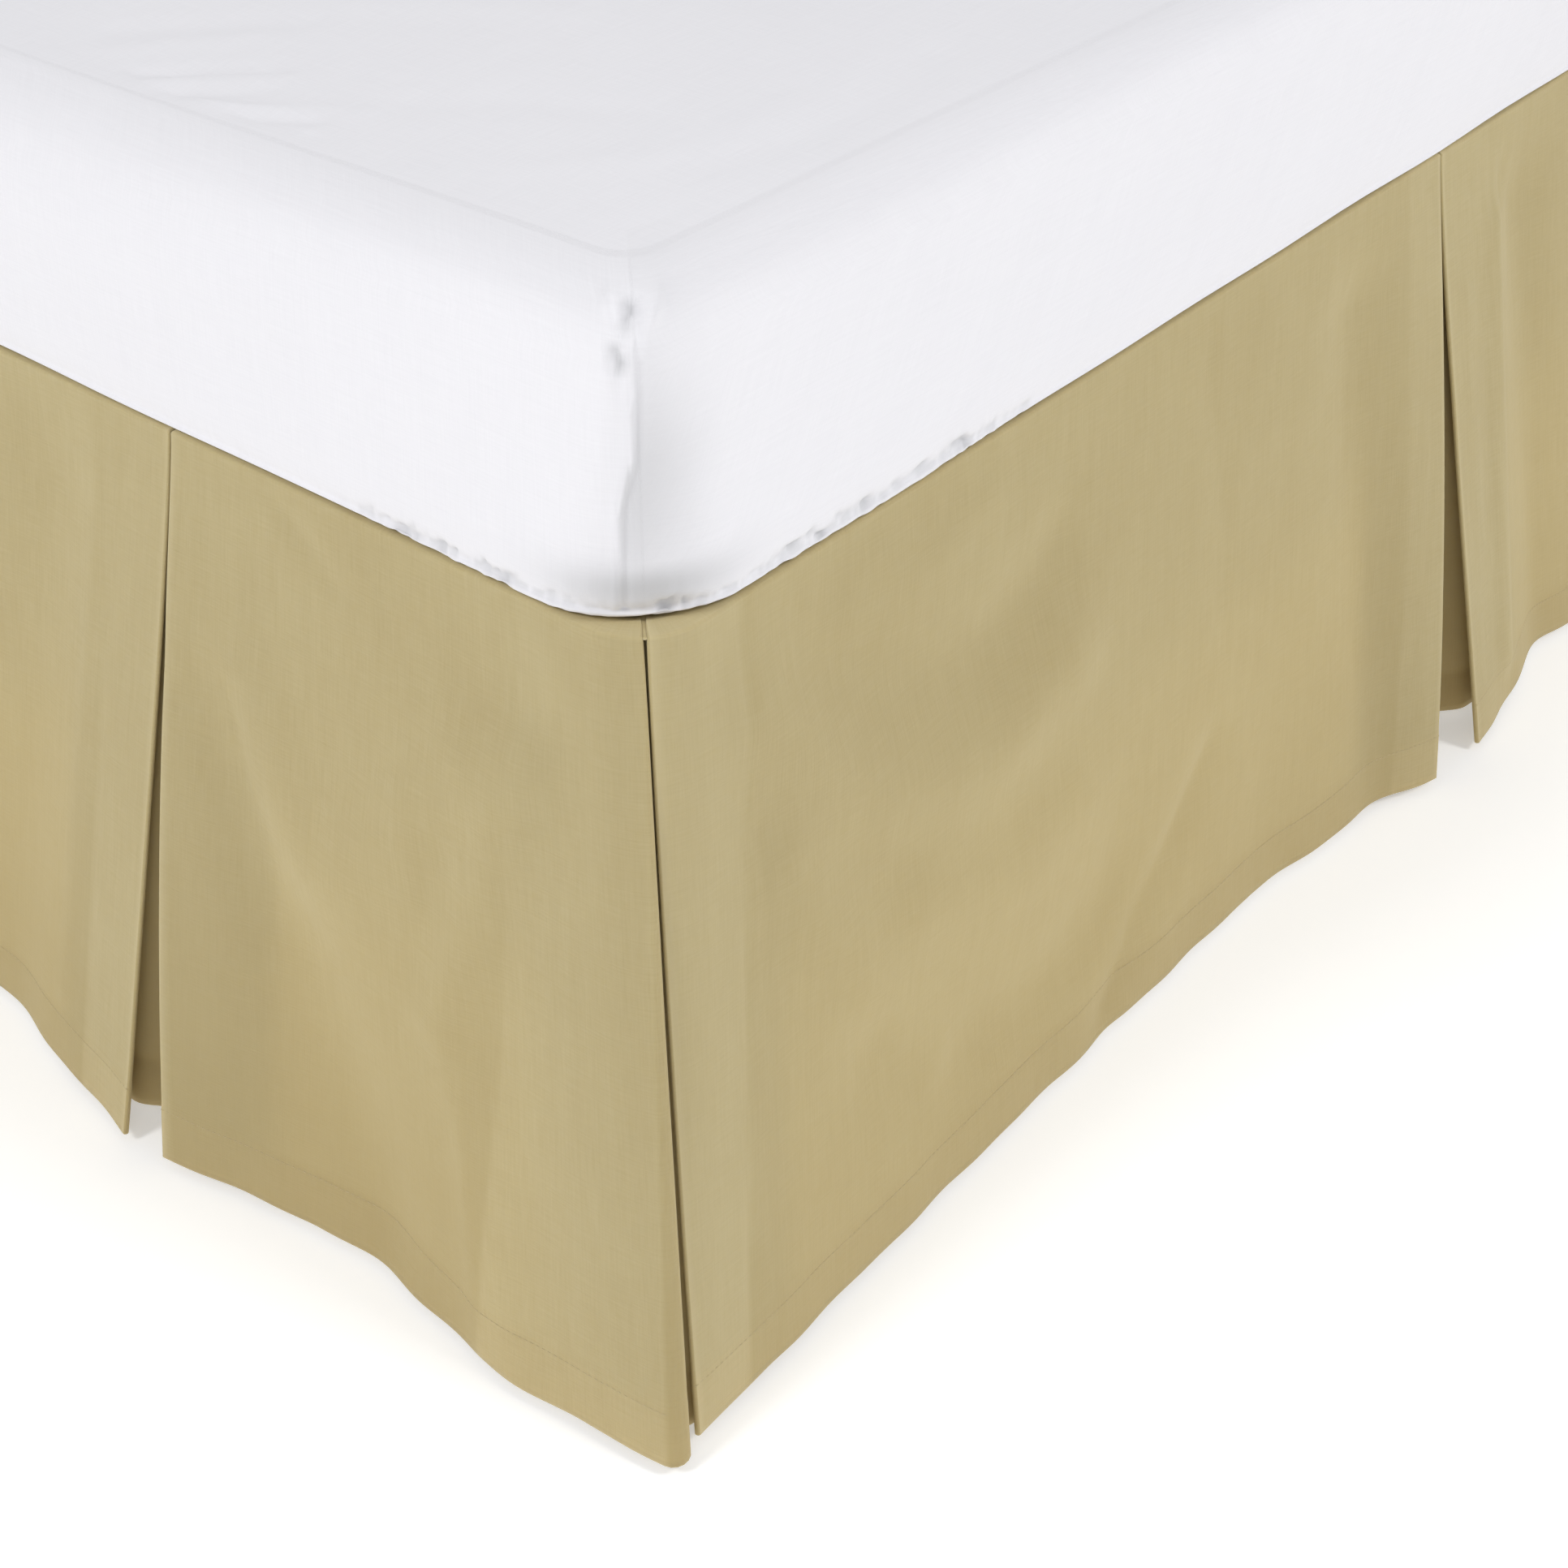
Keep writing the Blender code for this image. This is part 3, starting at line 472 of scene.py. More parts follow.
def clothTones(panel, along, weights, extraRows):
    # Painted light and painted shade as tones: painted light over the doubled edges and a painted highlight
    # on the crown of a pressed fold, and painted shade behind the front and low down, on the single layer
    # towards the hem
    paintedLight = np.zeros((len(levels), len(weights)))
    doubledHere = np.zeros_like(paintedLight)
    for side, sign in ((panel["start"], 1), (panel["end"], -1)):
        if side["roll"] is not None:
            width = mix(side["band"][0], side["band"][1], flare(levels))
            distance = sign * (along - foldCentre(side, levels, sign))
            layers = np.clip((width - distance) / 0.004 + 0.5, 0, 1)
            doubledHere[:, panel["front"]] = np.maximum(doubledHere[:, panel["front"]], layers)
            # Painted light over the doubled band
            doubled = side["band"][2] * layers
            # A painted highlight along the crown of a narrow pressed fold
            crownHighlight = 0.45 * np.exp(-(distance / 0.0022) ** 2) if side["roll"] < 0.003 else 0 * distance
            paintedLight[:, panel["front"]] = np.maximum(paintedLight[:, panel["front"]], doubled + crownHighlight)
    # Painted shade behind the front, and darker towards the hem
    thin = mix(panel["thin"][0], panel["thin"][1], np.clip((levels - 0.25) / 0.6, 0, 1) ** 1.5)
    paintedShade = np.maximum(0.7 * (1 - np.sqrt(weights)[None, :]), thin * (1 - doubledHere) + 0 * weights)
    spread = [np.concatenate([np.repeat(tone[:1], extraRows, 0), tone]) for tone in (paintedLight, paintedShade)]
    return spread[0], spread[1]


def throughControls(controls, spacing, smoothing):
    # A soft line through a few control points at every level
    segments = []
    for index in range(controls.shape[1] - 1):
        a, b = controls[:, index:index + 1], controls[:, index + 1:index + 2]
        count = max(int(np.linalg.norm(b - a, axis=-1).max() / spacing), 1)
        segments.append(mix(a, b, (np.arange(count) / count)[None, :, None]))
    line = np.concatenate(segments + [controls[:, -1:]], 1)
    for _ in range(smoothing):
        line[:, 1:-1] = (line[:, :-2] + 2 * line[:, 1:-1] + line[:, 2:]) / 4
    return line


def lapGap():
    return skirt["layer"] + skirt["lapEase"] * np.minimum(levels / skirt["lapEaseLevel"], 1)


def laps(panel, side, inward):
    # Where the cloth behind a pleat is sewn to the turned-back cloth
    distances = skirt["returnReach"] * np.array([[1.0, 0.8]])
    return turnedBack(panel, side, levels, inward, distances, lapGap())


def underlayGrid(underlay):
    before, after = panelOf[underlay["before"]], panelOf[underlay["after"]]
    crease = mix(underlay["creaseTop"], underlay["creaseHem"], flare(levels))
    front = (before["end"]["out"] + after["start"]["out"]) / 2
    middle = []
    for offset, out in zip((-skirt["shoulder"], 0, skirt["shoulder"]), underlay["outs"]):
        depth = mix(skirt["behind"], front - out, levels ** skirt["openPower"])
        middle.append(np.stack([crease + offset, front * flare(levels) - depth], -1))
    first = laps(before, before["end"], -1)
    last = laps(after, after["start"], 1)[:, ::-1]
    line = throughControls(np.concatenate([first, *middle, last], 1), skirt["seenSpacing"], 5)
    return toBed(before["face"], line, dropHeights)


def cornerGrid(pleat):
    footPanel, sidePanel = panelOf[pleat["footPanel"]], panelOf[pleat["sidePanel"]]
    sign = 1 if pleat["footEdge"] == "start" else -1
    footLaps = toBed("foot", laps(footPanel, footPanel[pleat["footEdge"]], sign), 0.0)
    sideLaps = toBed(sidePanel["face"], laps(sidePanel, sidePanel["start"], 1), 0.0)[:, ::-1]
    reach = mix(-cornerTop["inset"], pleat["reach"], flare(levels))
    radius = mix(cornerTop["round"], pleat["roundHem"], flare(levels))
    turns = np.radians(np.linspace(0, 90, 7))[None, :]
    x = sign * (halfX + reach + radius * (np.sin(turns) - 1)) + bedMiddle.x
    y = -(halfY + reach + radius * (np.cos(turns) - 1)) + bedMiddle.y
    bend = np.stack([x, y, np.zeros_like(x)], -1)
    line = throughControls(np.concatenate([footLaps, bend, sideLaps], 1), skirt["seenSpacing"], 4)
    line[..., 2] = dropHeights
    return line


def gridNormals(grid, outward):
    across = np.gradient(grid, axis=1)
    down = np.gradient(grid, axis=0)
    normal = np.cross(across, down)
    normal /= np.linalg.norm(normal, axis=-1, keepdims=True)
    middle = normal[:, grid.shape[1] // 2] @ np.array(outward, float)
    return normal if middle.mean() > 0 else -normal


def meshFromGrid(name, grid, outward, attributes=None):
    # A sheet of quads through the grid, its faces towards outward, with the cloth's own UV in metres
    rows, columns = grid.shape[:2]
    index = np.arange(rows * columns).reshape(rows, columns)
    quads = np.stack([index[:-1, :-1], index[:-1, 1:], index[1:, 1:], index[1:, :-1]], -1).reshape(-1, 4)
    middle = grid[:, columns // 2 - 1:columns // 2 + 1]
    facing = np.cross(middle[:-1, 1] - middle[:-1, 0], middle[1:, 0] - middle[:-1, 0])
    facing = facing @ np.array(outward, float)
    if facing.mean() < 0:
        quads = quads[:, ::-1]
    mesh = bpy.data.meshes.new(name)
    mesh.from_pydata(grid.reshape(-1, 3).tolist(), [], quads.tolist())
    widths = np.linalg.norm(np.diff(grid, axis=1), axis=-1).mean(0)
    heights = np.linalg.norm(np.diff(grid, axis=0), axis=-1).mean(1)
    u = np.broadcast_to(np.concatenate([[0], np.cumsum(widths)]), (rows, columns)).ravel()
    v = np.broadcast_to(-np.concatenate([[0], np.cumsum(heights)])[:, None], (rows, columns)).ravel()
    corners = np.empty(len(mesh.loops), np.int32)
    mesh.loops.foreach_get("vertex_index", corners)
    uv = mesh.uv_layers.new(name="cloth")
    uv.data.foreach_set("uv", np.stack([u[corners], v[corners]], -1).ravel().astype(np.float32))
    for label, values in (attributes or {}).items():
        layer = mesh.attributes.new(label, "FLOAT", "POINT")
        layer.data.foreach_set("value", np.broadcast_to(values, (rows, columns)).ravel().astype(np.float32))
    mesh.shade_smooth()
    return mesh, (float(widths.sum()), float(heights.sum()))


def addPiece(name, mesh, material):
    piece = bpy.data.objects.new(name, mesh)
    bpy.context.scene.collection.objects.link(piece)
    mesh.materials.clear()
    mesh.materials.append(material)
    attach(piece, "root")
    return piece


def thicken(piece, thickness, offset=0.0, thin=1.0, thickRows=None):
    # Gives a sheet its thickness, thinner outside the rows named
    if thickRows is not None:
        group = piece.vertex_groups.new(name="doubled")
        group.add([int(vertex) for vertex in thickRows], 1.0, "REPLACE")
    modifier = piece.modifiers.new("thickness", "SOLIDIFY")
    modifier.thickness = thickness
    modifier.offset = offset
    modifier.use_even_offset = False
    modifier.use_rim = True
    if thickRows is not None:
        modifier.vertex_group = "doubled"
        modifier.thickness_vertex_group = thin
    return modifier


# Materials

def newMaterial(name):
    material = bpy.data.materials.new(name)
    material.use_nodes = True
    nodes = material.node_tree.nodes
    return material, nodes, material.node_tree.links, nodes["Principled BSDF"]


def addNode(nodes, kind, values=None, **settings):
    node = nodes.new(kind)
    for name, value in settings.items():
        setattr(node, name, value)
    for name, value in (values or {}).items():
        node.inputs[name].default_value = value
    return node


def scaledUV(nodes, links, scale, source="cloth"):
    uv = addNode(nodes, "ShaderNodeUVMap", uv_map=source)
    mapping = addNode(nodes, "ShaderNodeMapping", {"Scale": scale})
    links.new(uv.outputs["UV"], mapping.inputs["Vector"])
    return mapping.outputs["Vector"]


def streaks(nodes, links, scale, detail=2.0, source="cloth"):
    # Threads that vary in thickness, as noise drawn out one way
    noise = addNode(nodes, "ShaderNodeTexNoise", {"Scale": 1.0, "Detail": detail, "Roughness": 0.6})
    links.new(scaledUV(nodes, links, scale, source), noise.inputs["Vector"])
    return noise.outputs["Fac"]


def weighted(nodes, links, first, second, weight):
    # first + second * weight
    node = addNode(nodes, "ShaderNodeMath", {1: weight}, operation="MULTIPLY_ADD")
    links.new(second, node.inputs[0])
    links.new(first, node.inputs[2])
    return node.outputs[0]


def mixColour(nodes, links, factor, first, second):
    # first and second are colours, or sockets that give one
    blend = addNode(nodes, "ShaderNodeMix", data_type="RGBA")
    sockets = {socket.name: socket for socket in blend.inputs if socket.type == "RGBA"}
    for label, value in (("A", first), ("B", second)):
        if isinstance(value, tuple):
            sockets[label].default_value = (*value, 1)
        else:
            links.new(value, sockets[label])
    links.new(factor, blend.inputs["Factor"])
    return [socket for socket in blend.outputs if socket.type == "RGBA"][0]


def toneRamp(nodes, links, value, low, high, dark, light):
    spread = addNode(nodes, "ShaderNodeMapRange", {"From Min": low, "From Max": high})
    links.new(value, spread.inputs["Value"])
    return mixColour(nodes, links, spread.outputs["Result"], dark, light)


def clothMaterial(name, look):
    # Plain weave: warp and weft of uneven threads in the colour and the bump
    material, nodes, links, shader = newMaterial(name)
    warp = streaks(nodes, links, (look["threads"], look["threads"] / look["slub"], 1))
    weft = streaks(nodes, links, (look["threads"] / look["slub"], look["threads"], 1))
    cloud = streaks(nodes, links, (look["cloud"], look["cloud"], 1), detail=3.0)
    slubs = streaks(nodes, links, (look["slubs"], look["slubs"] / 14, 1))
    weave = weighted(nodes, links, warp, weft, 1.0)
    value = weighted(nodes, links, weave, cloud, look["cloudWeight"])
    value = weighted(nodes, links, value, slubs, look["slubWeight"])
    middle = 1 + (look["cloudWeight"] + look["slubWeight"]) / 2
    colour = toneRamp(nodes, links, value, middle - 0.45, middle + 0.45, look["dark"], look["light"])
    # Painted light and painted shade from the mesh's attributes, over the weave's colour
    for label, tone in look["tones"].items():
        mark = addNode(nodes, "ShaderNodeAttribute", attribute_name=label)
        colour = mixColour(nodes, links, mark.outputs["Fac"], colour, tone)
    links.new(colour, shader.inputs["Base Color"])
    bump = addNode(nodes, "ShaderNodeBump", {"Strength": look["bump"], "Distance": 0.0003})
    links.new(weave, bump.inputs["Height"])
    links.new(bump.outputs["Normal"], shader.inputs["Normal"])
    shader.inputs["Roughness"].default_value = look["roughness"]
    shader.inputs["Sheen Weight"].default_value = look["sheen"]
    shader.inputs["Sheen Roughness"].default_value = 0.5
    shader.inputs["Specular IOR Level"].default_value = look["specular"]
    shader.inputs["Subsurface Weight"].default_value = look["through"]
    shader.inputs["Subsurface Radius"].default_value = (1.0, 1.0, 1.0)
    shader.inputs["Subsurface Scale"].default_value = look["throughDepth"]
    return material


# The skirt's tones are its painted light and painted shade colours; the sheet's is its painted shade colour
skirtLook = {"threads": 1150, "slub": 26, "cloud": 9, "cloudWeight": 0.9, "slubs": 150, "slubWeight": 0.6,
             "bump": 0.35, "roughness": 0.86, "sheen": 0.06, "specular": 0.22,
             "dark": (0.500, 0.402, 0.208), "light": (0.562, 0.464, 0.254),
             "through": 0.68, "throughDepth": 0.003,
             "tones": {"paintedLight": (0.640, 0.535, 0.312), "paintedShade": (0.448, 0.353, 0.172)}}
sheetLook = {"threads": 1000, "slub": 30, "cloud": 7, "cloudWeight": 0.6, "slubs": 70, "slubWeight": 0.3,
             "bump": 0.30, "roughness": 0.90, "sheen": 0.05, "specular": 0.18,
             "dark": (0.885, 0.880, 0.918), "light": (0.930, 0.925, 0.962),
             "through": 0.0, "throughDepth": 0.001,
             "tones": {"shaded": (0.620, 0.622, 0.640)}}
skirtCotton = clothMaterial("skirtCotton", skirtLook)
whiteSheeting = clothMaterial("whiteSheeting", sheetLook)


def plainMaterial(name, colour, roughness, scale=400.0, spread=0.06):
    # A plain finish with a fine unevenness, on object coordinates
    material, nodes, links, shader = newMaterial(name)
    place = addNode(nodes, "ShaderNodeTexCoord")
    noise = addNode(nodes, "ShaderNodeTexNoise", {"Scale": scale, "Detail": 3.0})
    links.new(place.outputs["Object"], noise.inputs["Vector"])
    dark = tuple(value * (1 - spread) for value in colour)
    light = tuple(min(value * (1 + spread), 1.0) for value in colour)
    links.new(toneRamp(nodes, links, noise.outputs["Fac"], 0.3, 0.7, dark, light),
              shader.inputs["Base Color"])
    bump = addNode(nodes, "ShaderNodeBump", {"Strength": 0.2, "Distance": 0.0002})
    links.new(noise.outputs["Fac"], bump.inputs["Height"])
    links.new(bump.outputs["Normal"], shader.inputs["Normal"])
    shader.inputs["Roughness"].default_value = roughness
    return material


def stripedTicking(name, ground, stripe, pitch):
    # Woven ticking: thin stripes across the cloth's own UV
    material, nodes, links, shader = newMaterial(name)
    uv = addNode(nodes, "ShaderNodeUVMap", uv_map="cloth")
    parts = addNode(nodes, "ShaderNodeSeparateXYZ")
    links.new(uv.outputs["UV"], parts.inputs["Vector"])
    turn = addNode(nodes, "ShaderNodeMath", {1: 2 * math.pi / pitch}, operation="MULTIPLY")
    links.new(parts.outputs["X"], turn.inputs[0])
    wave = addNode(nodes, "ShaderNodeMath", operation="SINE")
    links.new(turn.outputs[0], wave.inputs[0])
    threads = streaks(nodes, links, (900, 60, 1))
    value = weighted(nodes, links, wave.outputs[0], threads, 0.5)
    links.new(toneRamp(nodes, links, value, 0.75, 1.2, ground, stripe), shader.inputs["Base Color"])
    bump = addNode(nodes, "ShaderNodeBump", {"Strength": 0.3, "Distance": 0.0003})
    links.new(threads, bump.inputs["Height"])
    links.new(bump.outputs["Normal"], shader.inputs["Normal"])
    shader.inputs["Roughness"].default_value = 0.88
    return material


def stainedWood(name, dark, light):
    material, nodes, links, shader = newMaterial(name)
    place = addNode(nodes, "ShaderNodeTexCoord")
    mapping = addNode(nodes, "ShaderNodeMapping", {"Scale": (60, 60, 5)})
    links.new(place.outputs["Object"], mapping.inputs["Vector"])
    grain = addNode(nodes, "ShaderNodeTexNoise", {"Scale": 3.0, "Detail": 8.0, "Distortion": 0.8})
    links.new(mapping.outputs["Vector"], grain.inputs["Vector"])
    links.new(toneRamp(nodes, links, grain.outputs["Fac"], 0.35, 0.65, dark, light),
              shader.inputs["Base Color"])
    bump = addNode(nodes, "ShaderNodeBump", {"Strength": 0.15, "Distance": 0.0003})
    links.new(grain.outputs["Fac"], bump.inputs["Height"])
    links.new(bump.outputs["Normal"], shader.inputs["Normal"])
    shader.inputs["Roughness"].default_value = 0.42
    return material


skirtThread = plainMaterial("skirtThread", (0.56, 0.46, 0.26), 0.7)
coverTape = plainMaterial("coverTape", (0.86, 0.85, 0.82), 0.8)
mattressTicking = stripedTicking("mattressTicking", (0.82, 0.81, 0.78), (0.60, 0.62, 0.66), 0.024)
springTicking = stripedTicking("springTicking", (0.80, 0.78, 0.73), (0.66, 0.63, 0.56), 0.018)
legWood = stainedWood("legWood", (0.035, 0.020, 0.012), (0.085, 0.050, 0.030))
print("materials made")


# Geometry Nodes trees

def newTree(name, inputs):
    # A node group with a Geometry socket each way and the named inputs
    tree = bpy.data.node_groups.new(name, "GeometryNodeTree")
    tree.interface.new_socket("Geometry", in_out="INPUT", socket_type="NodeSocketGeometry")
    tree.interface.new_socket("Geometry", in_out="OUTPUT", socket_type="NodeSocketGeometry")
    for label, kind, value in inputs:
        socket = tree.interface.new_socket(label, in_out="INPUT", socket_type=kind)
        if value is not None:
            socket.default_value = value
    return tree, tree.nodes, tree.links, tree.nodes.new("NodeGroupInput"), tree.nodes.new("NodeGroupOutput")


def stitchTree():
    # Short threads laid end to end along the edges of a guide
    tree, nodes, links, given, made = newTree("stitchRows", [
        ("Pitch", "NodeSocketFloat", 0.003), ("Thread Radius", "NodeSocketFloat", 0.0003),
        ("Stitch Length", "NodeSocketFloat", 0.0024), ("Material", "NodeSocketMaterial", None)])
    curve = nodes.new("GeometryNodeMeshToCurve")
    points = nodes.new("GeometryNodeCurveToPoints")
    points.mode = "LENGTH"
    stitch = nodes.new("GeometryNodeMeshUVSphere")
    stitch.inputs["Segments"].default_value = 6
    stitch.inputs["Rings"].default_value = 4
    stitch.inputs["Radius"].default_value = 1.0
    place = nodes.new("GeometryNodeInstanceOnPoints")
    half = nodes.new("ShaderNodeMath")
    half.operation = "MULTIPLY"
    half.inputs[1].default_value = 0.5
    size = nodes.new("ShaderNodeCombineXYZ")
    realize = nodes.new("GeometryNodeRealizeInstances")
    finish = nodes.new("GeometryNodeSetMaterial")
    links.new(given.outputs["Geometry"], curve.inputs["Mesh"])
    links.new(curve.outputs["Curve"], points.inputs["Curve"])
    links.new(given.outputs["Pitch"], points.inputs["Length"])
    links.new(given.outputs["Stitch Length"], half.inputs[0])
    links.new(given.outputs["Thread Radius"], size.inputs["X"])
    links.new(given.outputs["Thread Radius"], size.inputs["Y"])
    links.new(half.outputs[0], size.inputs["Z"])
    links.new(points.outputs["Points"], place.inputs["Points"])
    links.new(points.outputs["Rotation"], place.inputs["Rotation"])
    links.new(stitch.outputs["Mesh"], place.inputs["Instance"])
    links.new(size.outputs["Vector"], place.inputs["Scale"])
    links.new(place.outputs["Instances"], realize.inputs["Geometry"])
    links.new(realize.outputs["Geometry"], finish.inputs["Geometry"])
    links.new(given.outputs["Material"], finish.inputs["Material"])
    links.new(finish.outputs["Geometry"], made.inputs["Geometry"])
    return tree


def weltTree():
    # A round welt swept along the edges of a guide
    tree, nodes, links, given, made = newTree("weltSweep", [
        ("Radius", "NodeSocketFloat", 0.003), ("Sides", "NodeSocketInt", 10),
        ("Material", "NodeSocketMaterial", None)])
    curve = nodes.new("GeometryNodeMeshToCurve")
    profile = nodes.new("GeometryNodeCurvePrimitiveCircle")
    sweep = nodes.new("GeometryNodeCurveToMesh")
    smooth = nodes.new("GeometryNodeSetShadeSmooth")
    realize = nodes.new("GeometryNodeRealizeInstances")
    finish = nodes.new("GeometryNodeSetMaterial")
    links.new(given.outputs["Geometry"], curve.inputs["Mesh"])
    links.new(given.outputs["Radius"], profile.inputs["Radius"])
    links.new(given.outputs["Sides"], profile.inputs["Resolution"])
    links.new(curve.outputs["Curve"], sweep.inputs["Curve"])
    links.new(profile.outputs["Curve"], sweep.inputs["Profile Curve"])
    links.new(sweep.outputs["Mesh"], smooth.inputs["Geometry"])
    links.new(smooth.outputs["Geometry"], realize.inputs["Geometry"])
    links.new(realize.outputs["Geometry"], finish.inputs["Geometry"])
    links.new(given.outputs["Material"], finish.inputs["Material"])
    links.new(finish.outputs["Geometry"], made.inputs["Geometry"])
    return tree


stitchRows = stitchTree()
weltSweep = weltTree()


def growOn(name, lines, closed, tree, values):
    # Runs a tree on guide lines and keeps the result as one plain mesh
    points, edges = [], []
    for line in lines:
        base = len(points)
        points += [tuple(point) for point in line]
        edges += [(base + index, base + index + 1) for index in range(len(line) - 1)]
        if closed:
            edges.append((base + len(line) - 1, base))
    guide = bpy.data.meshes.new(name + "Guide")
    guide.from_pydata(points, edges, [])
    holder = bpy.data.objects.new(name + "Guide", guide)
    bpy.context.scene.collection.objects.link(holder)
    modifier = holder.modifiers.new("grow", "NODES")
    modifier.node_group = tree
    sockets = {socket.name: socket.identifier for socket in tree.interface.items_tree
               if socket.in_out == "INPUT"}
    for label, value in values.items():
        modifier[sockets[label]] = value
    bpy.context.view_layer.update()
    evaluated = holder.evaluated_get(bpy.context.evaluated_depsgraph_get())
    mesh = bpy.data.meshes.new_from_object(evaluated)
    mesh.name = name
    holder.modifiers.remove(modifier)
    bpy.data.objects.remove(holder)
    bpy.data.meshes.remove(guide)
    return addPiece(name, mesh, values["Material"])


# The drop: panels, the cloth behind the pleats, and their hem stitches

outwards = {"foot": (0, -1, 0), "right": (1, 0, 0), "left": (-1, 0, 0)}
hemStitch = {"height": 0.023, "pitch": 0.0034, "length": 0.0026, "radius": 0.00032, "sink": 0.0001}
stitchLines = []
hemShare = 1 - skirt["hemBand"] / (dropTop - skirt["hemHeight"])
stitchRow = int(round(hemShare * (skirt["rows"] - 1)))


def dressCloth(piece, node, grid):
    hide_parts(node)
    columns = grid.shape[1]
    firstHemRow = len(grid) - skirt["rows"] + stitchRow
    hemVertices = range(firstHemRow * columns, len(grid) * columns)
    thicken(piece, skirt["cloth"], thin=0.62, thickRows=hemVertices)


def addCloth(name, node, grid, outward, paintedLight, paintedShade):
    mesh, flat = meshFromGrid(name, grid, outward, {"paintedLight": paintedLight, "paintedShade": paintedShade})
    piece = addPiece(name, mesh, skirtCotton)
    dressCloth(piece, node, grid)
    return piece


for panel in panels:
    grid = panelGrid(panel)
    outward = outwards[panel["face"]]
    addCloth(panel["piece"], panel["node"], grid, outward, panel["paintedLight"], panel["paintedShade"])
    proud = gridNormals(grid, outward) * (skirt["cloth"] / 2 - hemStitch["sink"])
    stitchLines.append((grid + proud)[len(grid) - skirt["rows"] + stitchRow, panel["front"]])
print("panels made")

# The cloth behind the pleats gets painted shade, with no painted light
for underlay in underlays:
    outward = outwards[panelOf[underlay["before"]]["face"]]
    addCloth(underlay["piece"], underlay["node"], underlayGrid(underlay), outward, 0.0, 0.8)
for pleat in cornerPleats:
    outward = (1 if pleat["footEdge"] == "start" else -1, -1, 0)
    addCloth(pleat["piece"], pleat["node"], cornerGrid(pleat), outward, 0.0, 0.5)
print("pleats made")

growOn("hemStitches", stitchLines, False, stitchRows,
       {"Pitch": hemStitch["pitch"], "Thread Radius": hemStitch["radius"],
        "Stitch Length": hemStitch["length"], "Material": skirtThread})
print("hem stitched")


# Rounded rectangles, for the deck, the sheet, the mattress and the box spring. Each ring runs from
# the +X foot corner along the foot, up the -X side, along the head and back down the +X side.

def stationsAlong(length, zones):
    # zones are (up to this distance, spacing), and the places come out as shares of the length
    places = [0.0]
    for limit, spacing in zones:
        limit = min(limit, length)
        count = max(int(round((limit - places[-1]) / spacing)), 1)
        places += list(places[-1] + (limit - places[-1]) * np.arange(1, count + 1) / count)
    return np.array(places) / places[-1]


def splitStations(shares, counts):
    pieces = [low + (high - low) * np.arange(1, count + 1) / count
              for low, high, count in zip(shares, shares[1:], counts)]
    return np.concatenate([shares[:1], *pieces])


def roundedSide(shares, length, startRadius, endRadius):
    # (distance along the side, how far in), from one corner's middle to the next one's
    s = shares * length
    place, inset = s.copy(), np.zeros_like(s)
    for distance, radius, base, sign in ((s, startRadius, 0.0, 1), (length - s, endRadius, length, -1)):
        near = distance < radius
        turn = np.pi / 4 * (1 - distance[near] / radius)
        place[near] = base + sign * radius * (1 - np.sin(turn))
        inset[near] = radius * (1 - np.cos(turn))
    return place, inset


def roundedRing(stations, halfWidth, halfLength, radius, headRadius=None):
    headRadius = radius if headRadius is None else headRadius
    foot, left, head, right = stations
    place, inset = roundedSide(foot, 2 * halfWidth, radius, radius)
    footPoints = np.stack([halfWidth - place, inset - halfLength], -1)
    place, inset = roundedSide(left, 2 * halfLength, radius, headRadius)
    leftPoints = np.stack([inset - halfWidth, place - halfLength], -1)
    place, inset = roundedSide(head, 2 * halfWidth, headRadius, headRadius)
    headPoints = np.stack([halfWidth - place, halfLength - inset], -1)[::-1]
    place, inset = roundedSide(right, 2 * halfLength, radius, headRadius)
    rightPoints = np.stack([halfWidth - inset, place - halfLength], -1)[::-1]
    return np.concatenate([footPoints[:-1], leftPoints[:-1], headPoints[:-1], rightPoints[:-1]])


def capGrid(ringIndex, points, height, across, along, firstFree):
    # A grid of quads that closes a ring whose opposite sides have the same stations
    width, length = len(across) - 1, len(along) - 1
    cap = np.zeros((length + 1, width + 1), int)
    cap[0, :] = ringIndex[:width + 1]
    cap[:, width] = ringIndex[width:width + length + 1]
    cap[length, ::-1] = ringIndex[width + length:2 * width + length + 1]
    cap[::-1, 0] = np.concatenate([ringIndex[2 * width + length:], ringIndex[:1]])
    rim = points[cap]
    u, v = across[None, :, None], along[:, None, None]
    inner = ((1 - v) * rim[:1] + v * rim[-1:] + (1 - u) * rim[:, :1] + u * rim[:, -1:]
             - (1 - u) * (1 - v) * rim[0, 0] - u * (1 - v) * rim[0, -1]
             - (1 - u) * v * rim[-1, 0] - u * v * rim[-1, -1])
    inner[..., 2] = height(inner[..., 0], inner[..., 1])
    cap[1:-1, 1:-1] = firstFree + np.arange((length - 1) * (width - 1)).reshape(length - 1, width - 1)
    quads = np.stack([cap[:-1, :-1], cap[:-1, 1:], cap[1:, 1:], cap[1:, :-1]], -1).reshape(-1, 4)
    return inner[1:-1, 1:-1].reshape(-1, 3), quads.tolist()


def ringFaces(lower, upper, counts=None):
    # Faces between two rings; the lower one may have counts[i] steps to one of the upper one
    size = len(upper)
    if counts is None:
        return [[lower[i], lower[(i + 1) % size], upper[(i + 1) % size], upper[i]] for i in range(size)]
    starts = np.concatenate([[0], np.cumsum(counts)])
    faces = []
    for i in range(size):
        steps = [lower[j % len(lower)] for j in range(starts[i], starts[i + 1] + 1)]
        faces.append(steps + [upper[(i + 1) % size], upper[i]])
    return faces


